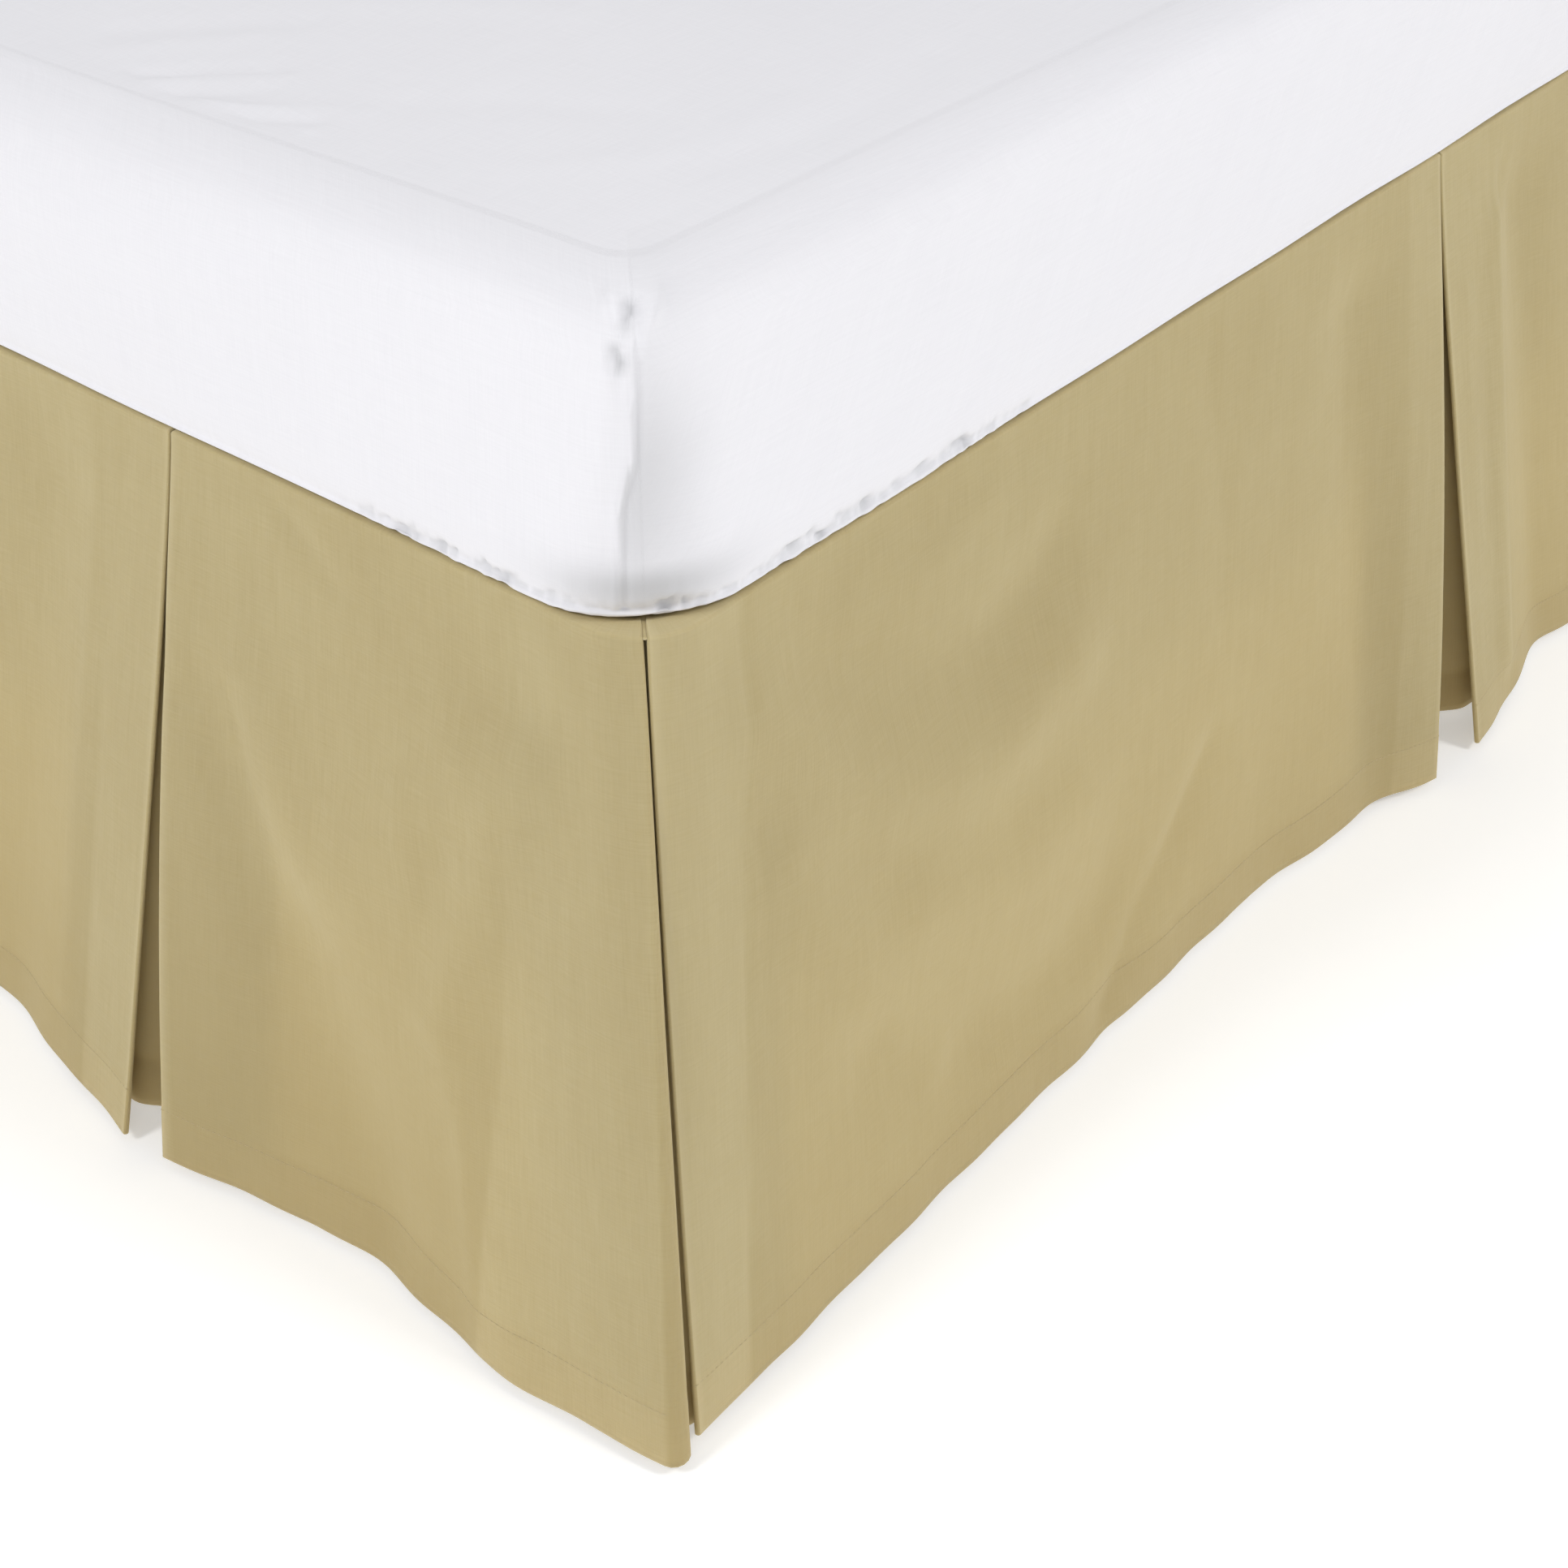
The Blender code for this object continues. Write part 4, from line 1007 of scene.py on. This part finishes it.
def meshFromFaces(name, points, faces, uv):
    mesh = bpy.data.meshes.new(name)
    mesh.from_pydata((points + np.array([bedMiddle.x, bedMiddle.y, 0])).tolist(), [], faces)
    corners = np.empty(len(mesh.loops), np.int32)
    mesh.loops.foreach_get("vertex_index", corners)
    layer = mesh.uv_layers.new(name="cloth")
    layer.data.foreach_set("uv", uv[corners].ravel().astype(np.float32))
    mesh.shade_smooth()
    return mesh


def ringLengths(ring):
    steps = np.linalg.norm(np.diff(ring[:, :2], axis=0, append=ring[:1, :2]), axis=1)
    return np.concatenate([[0], np.cumsum(steps)[:-1]]), float(steps.sum())


def plainShell(name, material, rows, stations, reshape=None):
    # A closed body through rows of (half width, half length, height, radius, head radius)
    ringStations = (stations[0], stations[1], stations[0], stations[1])
    rings = [np.column_stack([roundedRing(ringStations, w, l, r, h), np.full(len(stations[0]) * 2
             + len(stations[1]) * 2 - 4, z)]) for w, l, z, r, h in rows]
    size = len(rings[0])
    points = np.concatenate(rings)
    index = np.arange(len(points)).reshape(len(rings), size)
    faces = []
    for low, high in zip(index, index[1:]):
        faces += ringFaces(low, high)
    topPoints, quads = capGrid(index[-1], points, lambda x, y: rows[-1][2], *stations, len(points))
    faces += quads
    points = np.concatenate([points, topPoints])
    lowPoints, quads = capGrid(index[0], points, lambda x, y: rows[0][2], *stations, len(points))
    faces += [quad[::-1] for quad in quads]
    points = np.concatenate([points, lowPoints])
    faces = [face[::-1] for face in faces]
    uv = points[:, :2].copy()
    around = ringLengths(rings[0])[0]
    for row, ring in enumerate(rings[1:-1], 1):
        uv[row * size:(row + 1) * size] = np.column_stack([around, ring[:, 2]])
    if reshape:
        points = reshape(points)
    return addPiece(name, meshFromFaces(name, points, faces, uv), material)


# The fitted sheet on its mattress

sheetCloth = {
    "thickness": 0.0011,
    "overhang": sheetHigh.x - bedMiddle.x - bedHalf.x - 0.001,
    "bottom": sheetLow.z + 0.0006,
    "top": sheetHigh.z - 0.0006,
    "seenFoot": 0.45,
    "seenSide": 0.45,
    "near": 0.0074,
    "far": 0.030,
    "elastic": ((0.165, 0.260), (0.22, 0.20), (0.22, 0.22), (0.20, 0.22)),  # reach on each side of a corner
    "dimpleGap": 0.0072,
    "dimpleDepth": 0.0022,
    "dimpleHeight": 0.0068,
    "rippleHeight": 0.0007,
    "rippleReach": 0.016,
    "slumpDown": 0.009,
    "slumpIn": 0.013,
    "seamLean": ((0.0, 0.060, 0.080, 0.13), (0.0100, 0.0078, 0.0024, 0.0)),  # height, how far it runs aside
    "seed": 5,
}
# The section up the side: how far in, height, corner radius and the spacing of the rows after it
sheetSection = [
    (0.0450, sheetCloth["bottom"], 0.050, 0.009), (0.0200, sheetCloth["bottom"], 0.058, 0.006),
    (0.0062, sheetCloth["bottom"] + 0.0002, 0.062, 0.0016),
    (0.0024, sheetCloth["bottom"] + 0.0010, 0.062, 0.0008),
    (0.0012, sheetCloth["bottom"] + 0.0026, 0.062, 0.0008),
    (0.0019, sheetCloth["bottom"] + 0.0045, 0.062, 0.0012),
    (0.0008, sheetCloth["bottom"] + 0.0085, 0.061, 0.0015),
    (0.0, sheetCloth["bottom"] + 0.016, 0.059, 0.0024),
    (-0.0006, sheetCloth["bottom"] + 0.030, 0.053, 0.006),
    (-0.0008, sheetCloth["bottom"] + 0.060, 0.042, 0.0075),
    (-0.0006, sheetCloth["bottom"] + 0.095, 0.031, 0.0065),
    (0.0004, sheetCloth["top"] - 0.024, 0.020, 0.0036),
    (0.0055, sheetCloth["top"] - 0.0085, 0.017, 0.0032), (0.0150, sheetCloth["top"] - 0.0022, 0.016, 0.0042),
    (0.0290, sheetCloth["top"] - 0.0012, 0.016, 0.007), (0.0430, sheetCloth["top"] - 0.0012, 0.016, 0.007),
]
sheetPlain = 0.0012  # the top, below its highest wrinkle
fineRows = 0.046  # the elastic's fine stations end this far up

# Wrinkles in the top: height, width, and a path of (from the +X side, from the foot)
sheetWrinkles = [
    (0.0016, 0.0042, [(0.338, 0.036), (0.325, 0.051), (0.307, 0.069), (0.282, 0.082)]),
    (-0.0016, 0.0050, [(0.349, 0.050), (0.330, 0.062), (0.296, 0.088)]),
    (-0.0013, 0.0048, [(0.322, 0.038), (0.300, 0.052), (0.283, 0.066)]),
    (0.0013, 0.0040, [(0.298, 0.040), (0.270, 0.050), (0.240, 0.066), (0.222, 0.076)]),
    (-0.0014, 0.0055, [(0.288, 0.034), (0.262, 0.042), (0.236, 0.056)]),
    (-0.0010, 0.0060, [(0.252, 0.020), (0.238, 0.032), (0.220, 0.040)]),
    (0.0009, 0.0070, [(0.382, 0.060), (0.360, 0.085), (0.330, 0.110)]),
    (-0.0010, 0.0080, [(0.400, 0.078), (0.366, 0.108), (0.330, 0.134)]),
    (0.0008, 0.0110, [(0.330, 0.160), (0.290, 0.190), (0.240, 0.215)]),
    (-0.0008, 0.0120, [(0.215, 0.090), (0.180, 0.120), (0.130, 0.140)]),
    (0.0007, 0.0130, [(0.120, 0.070), (0.085, 0.120), (0.080, 0.190)]),
    (-0.0008, 0.0130, [(0.060, 0.120), (0.055, 0.200), (0.075, 0.280)]),
    (0.0009, 0.0200, [(0.300, 0.330), (0.420, 0.360), (0.560, 0.340)]),
    (-0.0012, 0.0220, [(0.350, 0.520), (0.500, 0.560), (0.650, 0.530)]),
    (0.0010, 0.0250, [(0.300, 1.100), (0.450, 1.160), (0.640, 1.120)]),
    (-0.0013, 0.0250, [(0.350, 1.420), (0.520, 1.450), (0.700, 1.400)]),
    (0.0010, 0.0200, [(0.380, 1.700), (0.520, 1.730), (0.660, 1.690)]),
]
# Lumps where the corner's seam is drawn together: along the ring from the seam, from the top,
# width and height
seamLumps = [
    (0.0005, 0.0060, 0.0030, -0.0030), (0.0020, 0.0110, 0.0024, -0.0022), (0.0072, 0.0040, 0.0036, 0.0016),
    (-0.0065, 0.0100, 0.0034, 0.0017), (0.0050, 0.0140, 0.0030, 0.0012), (-0.0100, 0.0040, 0.0040, 0.0009),
    (0.0070, 0.0230, 0.0026, -0.0014), (0.0045, 0.0270, 0.0024, -0.0014), (0.0095, 0.0280, 0.0034, 0.0011),
    (-0.0030, 0.0200, 0.0026, 0.0010),
]


def bump(distance, width):
    return np.exp(-(distance / width) ** 2)


def slump(x, y):
    # The foot's top edge has sunk a little away from the +X corner
    fromSide = bedHalf.x + sheetCloth["overhang"] - x
    fromFoot = y + bedHalf.y + sheetCloth["overhang"]
    share = np.clip(np.minimum((fromSide - 0.02) / 0.40, (2 * bedHalf.x - fromSide) / 0.25), 0, 1)
    return share * share * (3 - 2 * share) * bump(np.maximum(fromFoot - 0.02, 0), 0.11)


def sheetTop(x, y):
    fromSide = bedHalf.x + sheetCloth["overhang"] - x
    fromFoot = y + bedHalf.y + sheetCloth["overhang"]
    height = sheetCloth["top"] - sheetPlain - sheetCloth["slumpDown"] * slump(x, y)
    for rise, width, path in sheetWrinkles:
        height = height + rise * bump(distanceToPath(fromSide, fromFoot, smoothPath(path)), width)
    return np.minimum(height, sheetCloth["top"])


def sectionRows():
    # The section as evenly followed rows, with the rise and the run of its outward side
    rows = []
    control = np.array([row[:3] for row in sheetSection])
    for index in range(len(control) - 1):
        before = control[max(index - 1, 0)]
        after = control[min(index + 2, len(control) - 1)]
        start, end = control[index], control[index + 1]
        steps = max(int(round(np.hypot(*(end - start)[:2]) / sheetSection[index][3])), 1)
        for t in np.arange(steps) / steps:
            rows.append(0.5 * (2 * start + (end - before) * t
                               + (2 * before - 5 * start + 4 * end - after) * t ** 2
                               + (3 * start - 3 * end + after - before) * t ** 3))
    rows = np.array(rows + [control[-1]])
    slope = np.gradient(rows[:, :2], axis=0)
    slope /= np.linalg.norm(slope, axis=1, keepdims=True)
    path = np.concatenate([[0], np.cumsum(np.linalg.norm(np.diff(rows[:, :2], axis=0), axis=1))])
    return rows, slope[:, 1], slope[:, 0], path


def elasticGathers(around, total, corners, draw, up):
    # Uneven dimples and ripples round each corner, where the elastic draws the hem in
    dimples, ripples = np.zeros(len(around)), np.zeros(len(around))
    for corner, (ahead, behind) in zip(corners, sheetCloth["elastic"]):
        place = -behind
        while place < ahead:
            place += sheetCloth["dimpleGap"] * draw.choice((0.35, 0.6, 0.9, 1.6)) * draw.uniform(0.8, 1.2)
            distance = (around - corner - place + total / 2) % total - total / 2
            fade = min(max(min(ahead - place, place + behind) / 0.05, 0), 1)
            weight = fade * draw.choice((0.25, 0.45, 0.65, 1.1)) * draw.uniform(0.8, 1.2)
            width, tall = draw.uniform(0.0014, 0.0040), draw.uniform(0.0018, 0.0042)
            height = sheetCloth["dimpleHeight"] + draw.uniform(-0.0026, 0.0022)
            lean = draw.uniform(-0.5, 0.5) * (up - height)
            dimples += weight * bump(distance - lean, width) * bump(up - height, tall)
            ripples += weight * (bump(distance, 1.5 * width) - 0.7 * bump(distance - 0.0042, 1.6 * width))
    return dimples, ripples


def buildSheet():
    halfWidth = bedHalf.x + sheetCloth["overhang"]
    halfLength = bedHalf.y + sheetCloth["overhang"]
    across = stationsAlong(2 * halfWidth, [(0.020, 0.0017), (sheetCloth["seenFoot"], sheetCloth["near"]),
                                           (2 * halfWidth - 0.012, sheetCloth["far"]),
                                            (2 * halfWidth, 0.003)])
    along = stationsAlong(2 * halfLength, [(0.020, 0.0017), (sheetCloth["seenSide"], sheetCloth["near"]),
                                           (2 * halfLength - 0.012, sheetCloth["far"]),
                                            (2 * halfLength, 0.003)])

    def counts(shares, length, seen):
        # Finer stations in the elastic's reach
        middles = (shares[1:] + shares[:-1]) / 2 * length
        sizes = np.diff(shares) * length
        reach = 0.29 if seen else 0.24
        wanted = np.where((middles < reach) | (middles > length - 0.24), 0.0026 if seen else 0.0055, 1.0)
        return np.maximum(np.round(sizes / wanted).astype(int), 1)

    footCounts, headCounts = counts(across, 2 * halfWidth, True), counts(across, 2 * halfWidth, False)
    leftCounts, rightCounts = counts(along, 2 * halfLength, False), counts(along, 2 * halfLength, True)
    coarse = (across, along, across, along)
    fine = (splitStations(across, footCounts), splitStations(along, leftCounts),
            splitStations(across, headCounts), splitStations(along, rightCounts))
    ringCounts = np.concatenate([footCounts, leftCounts, headCounts[::-1], rightCounts[::-1]])
    rows, outShare, upShare, path = sectionRows()
    draw = np.random.default_rng(sheetCloth["seed"])
    drawState = draw.bit_generator.state
    rings, shades = [], []
    waveNumbers = draw.integers(9, 42, 7)
    wavePhases = draw.uniform(0, 6.28, 7)
    for row, (inset, height, radius) in enumerate(rows):
        up = height - sheetCloth["bottom"]
        stations = fine if up < fineRows else coarse
        ring = roundedRing(stations, halfWidth - inset, halfLength - inset, radius)
        around, total = ringLengths(ring)
        starts = np.cumsum([0] + [len(side) - 1 for side in stations[:3]])
        corners = around[starts]
        tangent = np.roll(ring, -1, axis=0) - np.roll(ring, 1, axis=0)
        outward = np.stack([tangent[:, 1], -tangent[:, 0]], -1)
        outward *= -1 / np.linalg.norm(outward, axis=1, keepdims=True)
        push = np.zeros(len(ring))
        fromTop = path[-1] - path[row] - 0.035
        if up < fineRows:
            draw.bit_generator.state = drawState
            dimples, ripples = elasticGathers(around, total, corners, draw, up)
            push -= sheetCloth["dimpleDepth"] * dimples
            rippleFade = math.exp(-abs(up - 0.010) / sheetCloth["rippleReach"])
            push += sheetCloth["rippleHeight"] * ripples * rippleFade
        wander = sum(np.sin(number * 2 * np.pi * around / total + phase)
                     for number, phase in zip(waveNumbers, wavePhases)) / 7
        push += 0.0014 * wander * bump(up - 0.07, 0.06) + 0.0011 * wander * bump(up, 0.006)
        shade = np.zeros(len(ring))
        if up < fineRows:
            shade = 0.85 * np.minimum(dimples, 1)
            gathered = np.clip(np.abs(ripples) / 0.25, 0, 1)
            shade = np.maximum(shade, 0.50 * gathered * bump(up - 0.0056, 0.0024))
        for number, corner in enumerate(corners):
            fromSeam = (around - corner + total / 2) % total - total / 2
            lean = np.interp(up, *sheetCloth["seamLean"]) if number == 0 else 0.0
            c = fromSeam - lean
            seam = 0.0006 * bump(c - 0.0012, 0.0018) - 0.0011 * bump(c + 0.0022, 0.0020)
            push += seam * (up > 0.004) * min(max(fromTop + 0.004, 0) / 0.012, 1)
            push -= 0.0020 * bump(c + 0.018, 0.014) * bump(up - 0.055, 0.050)
            for place, drop, width, lump in seamLumps:
                mark = bump(c - place, width) * bump(fromTop - drop, width * 1.2)
                push += 1.5 * lump * mark
                shade = np.maximum(shade, 0.75 * mark * (lump < 0))
            softSide = np.where(c < 0, bump(c + 0.003, 0.028), 0) * bump(up - 0.065, 0.055)
            shade = np.maximum(shade, 0.60 * softSide)
            shade = np.maximum(shade, 1.0 * bump(fromSeam + 0.002, 0.038) * bump(up - 0.017, 0.012))
        sunk = slump(*ring.T) * min(max(1 - fromTop / 0.09, 0), 1)
        shift = push * outShare[row]
        ring = ring + outward * shift[:, None]
        held = min(max((fromTop + 0.034) / 0.030, 0), 1) * min(max(1 - fromTop / 0.06, 0), 1)
        ring[:, 1] += sheetCloth["slumpIn"] * sunk * held
        z = height + push * upShare[row] - sheetCloth["slumpDown"] * sunk
        rings.append(np.column_stack([ring, np.clip(z, sheetCloth["bottom"], sheetCloth["top"])]))
        shades.append(shade)
    rings[-1][:, 2] = sheetTop(*rings[-1][:, :2].T)
    points = np.concatenate(rings)
    starts = np.cumsum([0] + [len(ring) for ring in rings])
    faces = []
    for row in range(len(rings) - 1):
        lower = list(range(starts[row], starts[row + 1]))
        upper = list(range(starts[row + 1], starts[row + 2]))
        faces += ringFaces(lower, upper, None if len(lower) == len(upper) else ringCounts)
    topIndex = np.arange(starts[-2], starts[-1])
    topPoints, quads = capGrid(topIndex, points, sheetTop, across, along, len(points))
    points = np.concatenate([points, topPoints])
    faces = [face[::-1] for face in faces + quads]
    uv = points[:, :2].copy()
    for row, ring in enumerate(rings[:-3]):
        reached, total = ringLengths(ring)
        uv[starts[row]:starts[row + 1]] = np.column_stack([reached, np.full(len(ring), path[row])])
    mesh = meshFromFaces("fittedSheet", points, faces, uv)
    layer = mesh.attributes.new("shaded", "FLOAT", "POINT")
    layer.data.foreach_set("value", np.concatenate(shades + [np.zeros(len(topPoints))]).astype(np.float32))
    sheet = addPiece("fittedSheet", mesh, whiteSheeting)
    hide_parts("fitted_sheet")
    thicken(sheet, sheetCloth["thickness"], offset=-1.0)
    drop = float(path[-1]) - 0.043
    flat = (2 * halfWidth + 2 * drop, 2 * halfLength + 2 * drop)
    return flat


sheetFlat = buildSheet()
print("fitted sheet made", [round(value, 3) for value in sheetFlat])

bodyStations = (
    stationsAlong(2 * bedHalf.x, [(0.06, 0.006), (2 * bedHalf.x - 0.06, 0.05), (2 * bedHalf.x, 0.006)]),
    stationsAlong(2 * bedHalf.y, [(0.06, 0.006), (2 * bedHalf.y - 0.06, 0.06), (2 * bedHalf.y, 0.006)]),
)


def buildMattress():
    # Inside the sheet, 4 mm clear of its wrinkles
    inner = {"clear": 0.0042, "edge": 0.020, "sink": 0.013}
    w = bedHalf.x + sheetCloth["overhang"] - inner["clear"]
    l = bedHalf.y + sheetCloth["overhang"] - inner["clear"]
    low, high = sheetCloth["bottom"] + 0.0026, sheetCloth["top"] - inner["sink"]
    rows = [(w - 0.012, l - 0.012, low, 0.052, 0.052), (w - 0.004, l - 0.004, low + 0.002, 0.058, 0.058),
            (w, l, low + 0.010, 0.055, 0.055), (w, l, low + 0.050, 0.044, 0.044)]
    for turn in np.radians((0, 20, 40, 60, 80)):
        inset = 0.004 + inner["edge"] * (1 - math.cos(turn))
        rows.append((w - inset, l - inset, high - inner["edge"] * (1 - math.sin(turn)), 0.020, 0.020))
    rows.append((w - 0.030, l - 0.030, high, 0.020, 0.020))

    def sink(points):
        # The same sunk edge as the sheet's
        share = slump(points[:, 0], points[:, 1]) * np.clip((points[:, 2] - high + 0.07) / 0.05, 0, 1)
        return points + np.column_stack([0 * share, 1.3 * sheetCloth["slumpIn"] * share,
                                         -1.2 * sheetCloth["slumpDown"] * share])

    mattress = plainShell("mattressCore", mattressTicking, rows, bodyStations, sink)
    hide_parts("mattress")


buildMattress()

boxSpring = {"corner": 0.050, "headCorner": 0.012, "edge": 0.005, "bulge": 0.0025, "welt": 0.0032}


def buildBoxSpring():
    # A stuffed border between two welts
    w, l = bedHalf.x - 0.0032, bedHalf.y - 0.0032
    low, high = springLow.z, springHigh.z
    rows = [(w - 0.010, l - 0.010, low, boxSpring["corner"] - 0.006, 0.008)]
    for share in np.linspace(0, 1, 11):
        belly = boxSpring["bulge"] * math.sin(math.pi * share)
        rim = boxSpring["edge"] * (1 - min(min(share, 1 - share) / 0.05, 1))
        rows.append((w - rim + belly, l - rim + belly, mix(low + 0.001, high - 0.001, share),
                     boxSpring["corner"], boxSpring["headCorner"]))
    rows.append((w - 0.010, l - 0.010, high, boxSpring["corner"] - 0.006, 0.008))
    body = plainShell("boxSpring", springTicking, rows, bodyStations)
    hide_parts("box_spring")
    ringStations = (bodyStations[0], bodyStations[1]) * 2
    ring = roundedRing(ringStations, w + 0.0002, l + 0.0002, boxSpring["corner"], boxSpring["headCorner"])
    ring += np.array([bedMiddle.x, bedMiddle.y])
    welts = [np.column_stack([ring, np.full(len(ring), height)])
             for height in (low + boxSpring["welt"], high - boxSpring["welt"])]
    growOn("boxSpringWelts", welts, True, weltSweep,
           {"Radius": boxSpring["welt"] - 0.0003, "Sides": 10, "Material": coverTape})


buildBoxSpring()

deckCloth = {"setback": 0.004, "corner": 0.022, "low": dropTop + 0.00015, "high": dropTop + 0.00085}


def buildDeck():
    w, l = halfX - deckCloth["setback"], halfY - deckCloth["setback"]
    rows = [(w, l, deckCloth["low"], deckCloth["corner"], 0.004),
            (w, l, deckCloth["high"], deckCloth["corner"], 0.004)]
    deck = plainShell("skirtDeck", skirtCotton, rows, bodyStations)
    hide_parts("deck")


buildDeck()
print("mattress, box spring and deck made")

# Turned legs: (radius, height) from the floor up
legProfile = [(0.0, 0.0), (0.0175, 0.0), (0.0190, 0.0010), (0.0196, 0.0035), (0.0200, 0.0040),
              (0.0212, 0.0046),
              (0.0220, 0.0062), (0.0226, 0.018), (0.0240, 0.062), (0.0256, 0.112), (0.0268, 0.1500),
              (0.0278, 0.1660), (0.0280, 0.1690), (0.0276, 0.1716), (0.0266, 0.1726), (0.0, 0.1726)]


def buildLegs():
    sides = 48
    turns = np.arange(sides) * 2 * np.pi / sides
    for node in ("leg_foot_right", "leg_foot_left", "leg_middle_right", "leg_middle_left", "leg_head_right",
                 "leg_head_left"):
        low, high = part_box(node)
        centre = (low + high) / 2
        points = [(centre.x, centre.y, low.z)]
        for radius, height in legProfile[1:-1]:
            points += [(centre.x + radius * math.cos(turn), centre.y + radius * math.sin(turn),
                        low.z + height)
                       for turn in turns]
        points.append((centre.x, centre.y, low.z + legProfile[-1][1]))
        faces = []
        for row in range(len(legProfile) - 3):
            base = 1 + row * sides
            faces += [(base + i, base + (i + 1) % sides, base + sides + (i + 1) % sides, base + sides + i)
                      for i in range(sides)]
        last = len(points) - 1
        faces += [(0, 1 + (i + 1) % sides, 1 + i) for i in range(sides)]
        faces += [(last, last - sides + i, last - sides + (i + 1) % sides) for i in range(sides)]
        name = "".join(part.capitalize() if index else part for index, part in enumerate(node.split("_")))
        mesh = bpy.data.meshes.new(name)
        mesh.from_pydata(points, [], faces)
        mesh.shade_smooth()
        leg = addPiece(name, mesh, legWood)
        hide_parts(node)


buildLegs()
print("legs made")


# Floor, light and camera

def addFloor():
    mesh = bpy.data.meshes.new("floor")
    size = 30.0
    corners = [(-size, -size, 0), (size, -size, 0), (size, size, 0), (-size, size, 0)]
    mesh.from_pydata(corners, [], [(0, 1, 2, 3)])
    floor = bpy.data.objects.new("floor", mesh)
    bpy.context.scene.collection.objects.link(floor)
    material, nodes, links, shader = newMaterial("paleFloor")
    shader.inputs["Base Color"].default_value = (0.92, 0.92, 0.92, 1)
    shader.inputs["Roughness"].default_value = 0.95
    shader.inputs["Specular IOR Level"].default_value = 0.0
    shader.inputs["Emission Color"].default_value = (1, 1, 1, 1)
    shader.inputs["Emission Strength"].default_value = 0.34
    mesh.materials.append(material)


def addLight(name, place, target, size, power):
    light = bpy.data.lights.new(name, "AREA")
    light.shape = "RECTANGLE"
    light.size, light.size_y = size
    light.energy = power
    item = bpy.data.objects.new(name, light)
    item.location = place
    item.rotation_mode = "QUATERNION"
    item.rotation_quaternion = (Vector(target) - Vector(place)).to_track_quat("-Z", "Y")
    bpy.context.scene.collection.objects.link(item)


def addWorld():
    # Soft light from all round, and plain white where the camera sees past the floor
    world = bpy.data.worlds.new("studio")
    world.use_nodes = True
    nodes, links = world.node_tree.nodes, world.node_tree.links
    around = nodes["Background"]
    around.inputs["Color"].default_value = (1.0, 1.0, 1.0, 1)
    around.inputs["Strength"].default_value = 0.37
    seen = addNode(nodes, "ShaderNodeBackground", {"Color": (1.0, 1.0, 1.0, 1), "Strength": 1.0})
    path = nodes.new("ShaderNodeLightPath")
    choose = nodes.new("ShaderNodeMixShader")
    links.new(path.outputs["Is Camera Ray"], choose.inputs["Fac"])
    links.new(around.outputs["Background"], choose.inputs[1])
    links.new(seen.outputs["Background"], choose.inputs[2])
    links.new(choose.outputs["Shader"], nodes["World Output"].inputs["Surface"])
    bpy.context.scene.world = world


photo = {"focal": 2866.12, "frame": 1932, "yaw": 0.68928, "pitch": 0.638487,
         "fromCorner": (0.53692, -0.56510, 0.88873)}


def addCamera():
    data = bpy.data.cameras.new("camera")
    data.sensor_width = 36.0
    data.lens = 36.0 * photo["focal"] / photo["frame"]
    camera = bpy.data.objects.new("camera", data)
    corner = Vector((bedMiddle.x + halfX, bedMiddle.y - halfY, 0.0))
    camera.location = corner + Vector(photo["fromCorner"])
    camera.rotation_euler = (math.pi / 2 - photo["pitch"], 0.0, photo["yaw"])
    data.clip_start = 0.05
    data.clip_end = 60.0
    bpy.context.scene.collection.objects.link(camera)
    bpy.context.scene.camera = camera


addFloor()
addWorld()
addLight("footSoft", (-0.9, -4.2, 3.7), (0.3, -0.95, 0.2), (1.1, 1.1), 77)
addLight("sideSoft", (3.8, 0.8, 3.7), (0.5, -0.4, 0.2), (1.1, 1.1), 74)
addLight("frontFill", (1.35, -1.9, 1.3), (0.45, -0.9, 0.2), (0.8, 0.8), 2.8)
addLight("backSoft", (-2.6, 4.2, 3.0), (0.0, 0.3, 0.3), (1.6, 1.6), 40)
addCamera()
bpy.context.scene.view_settings.view_transform = "Standard"
print("stage made")
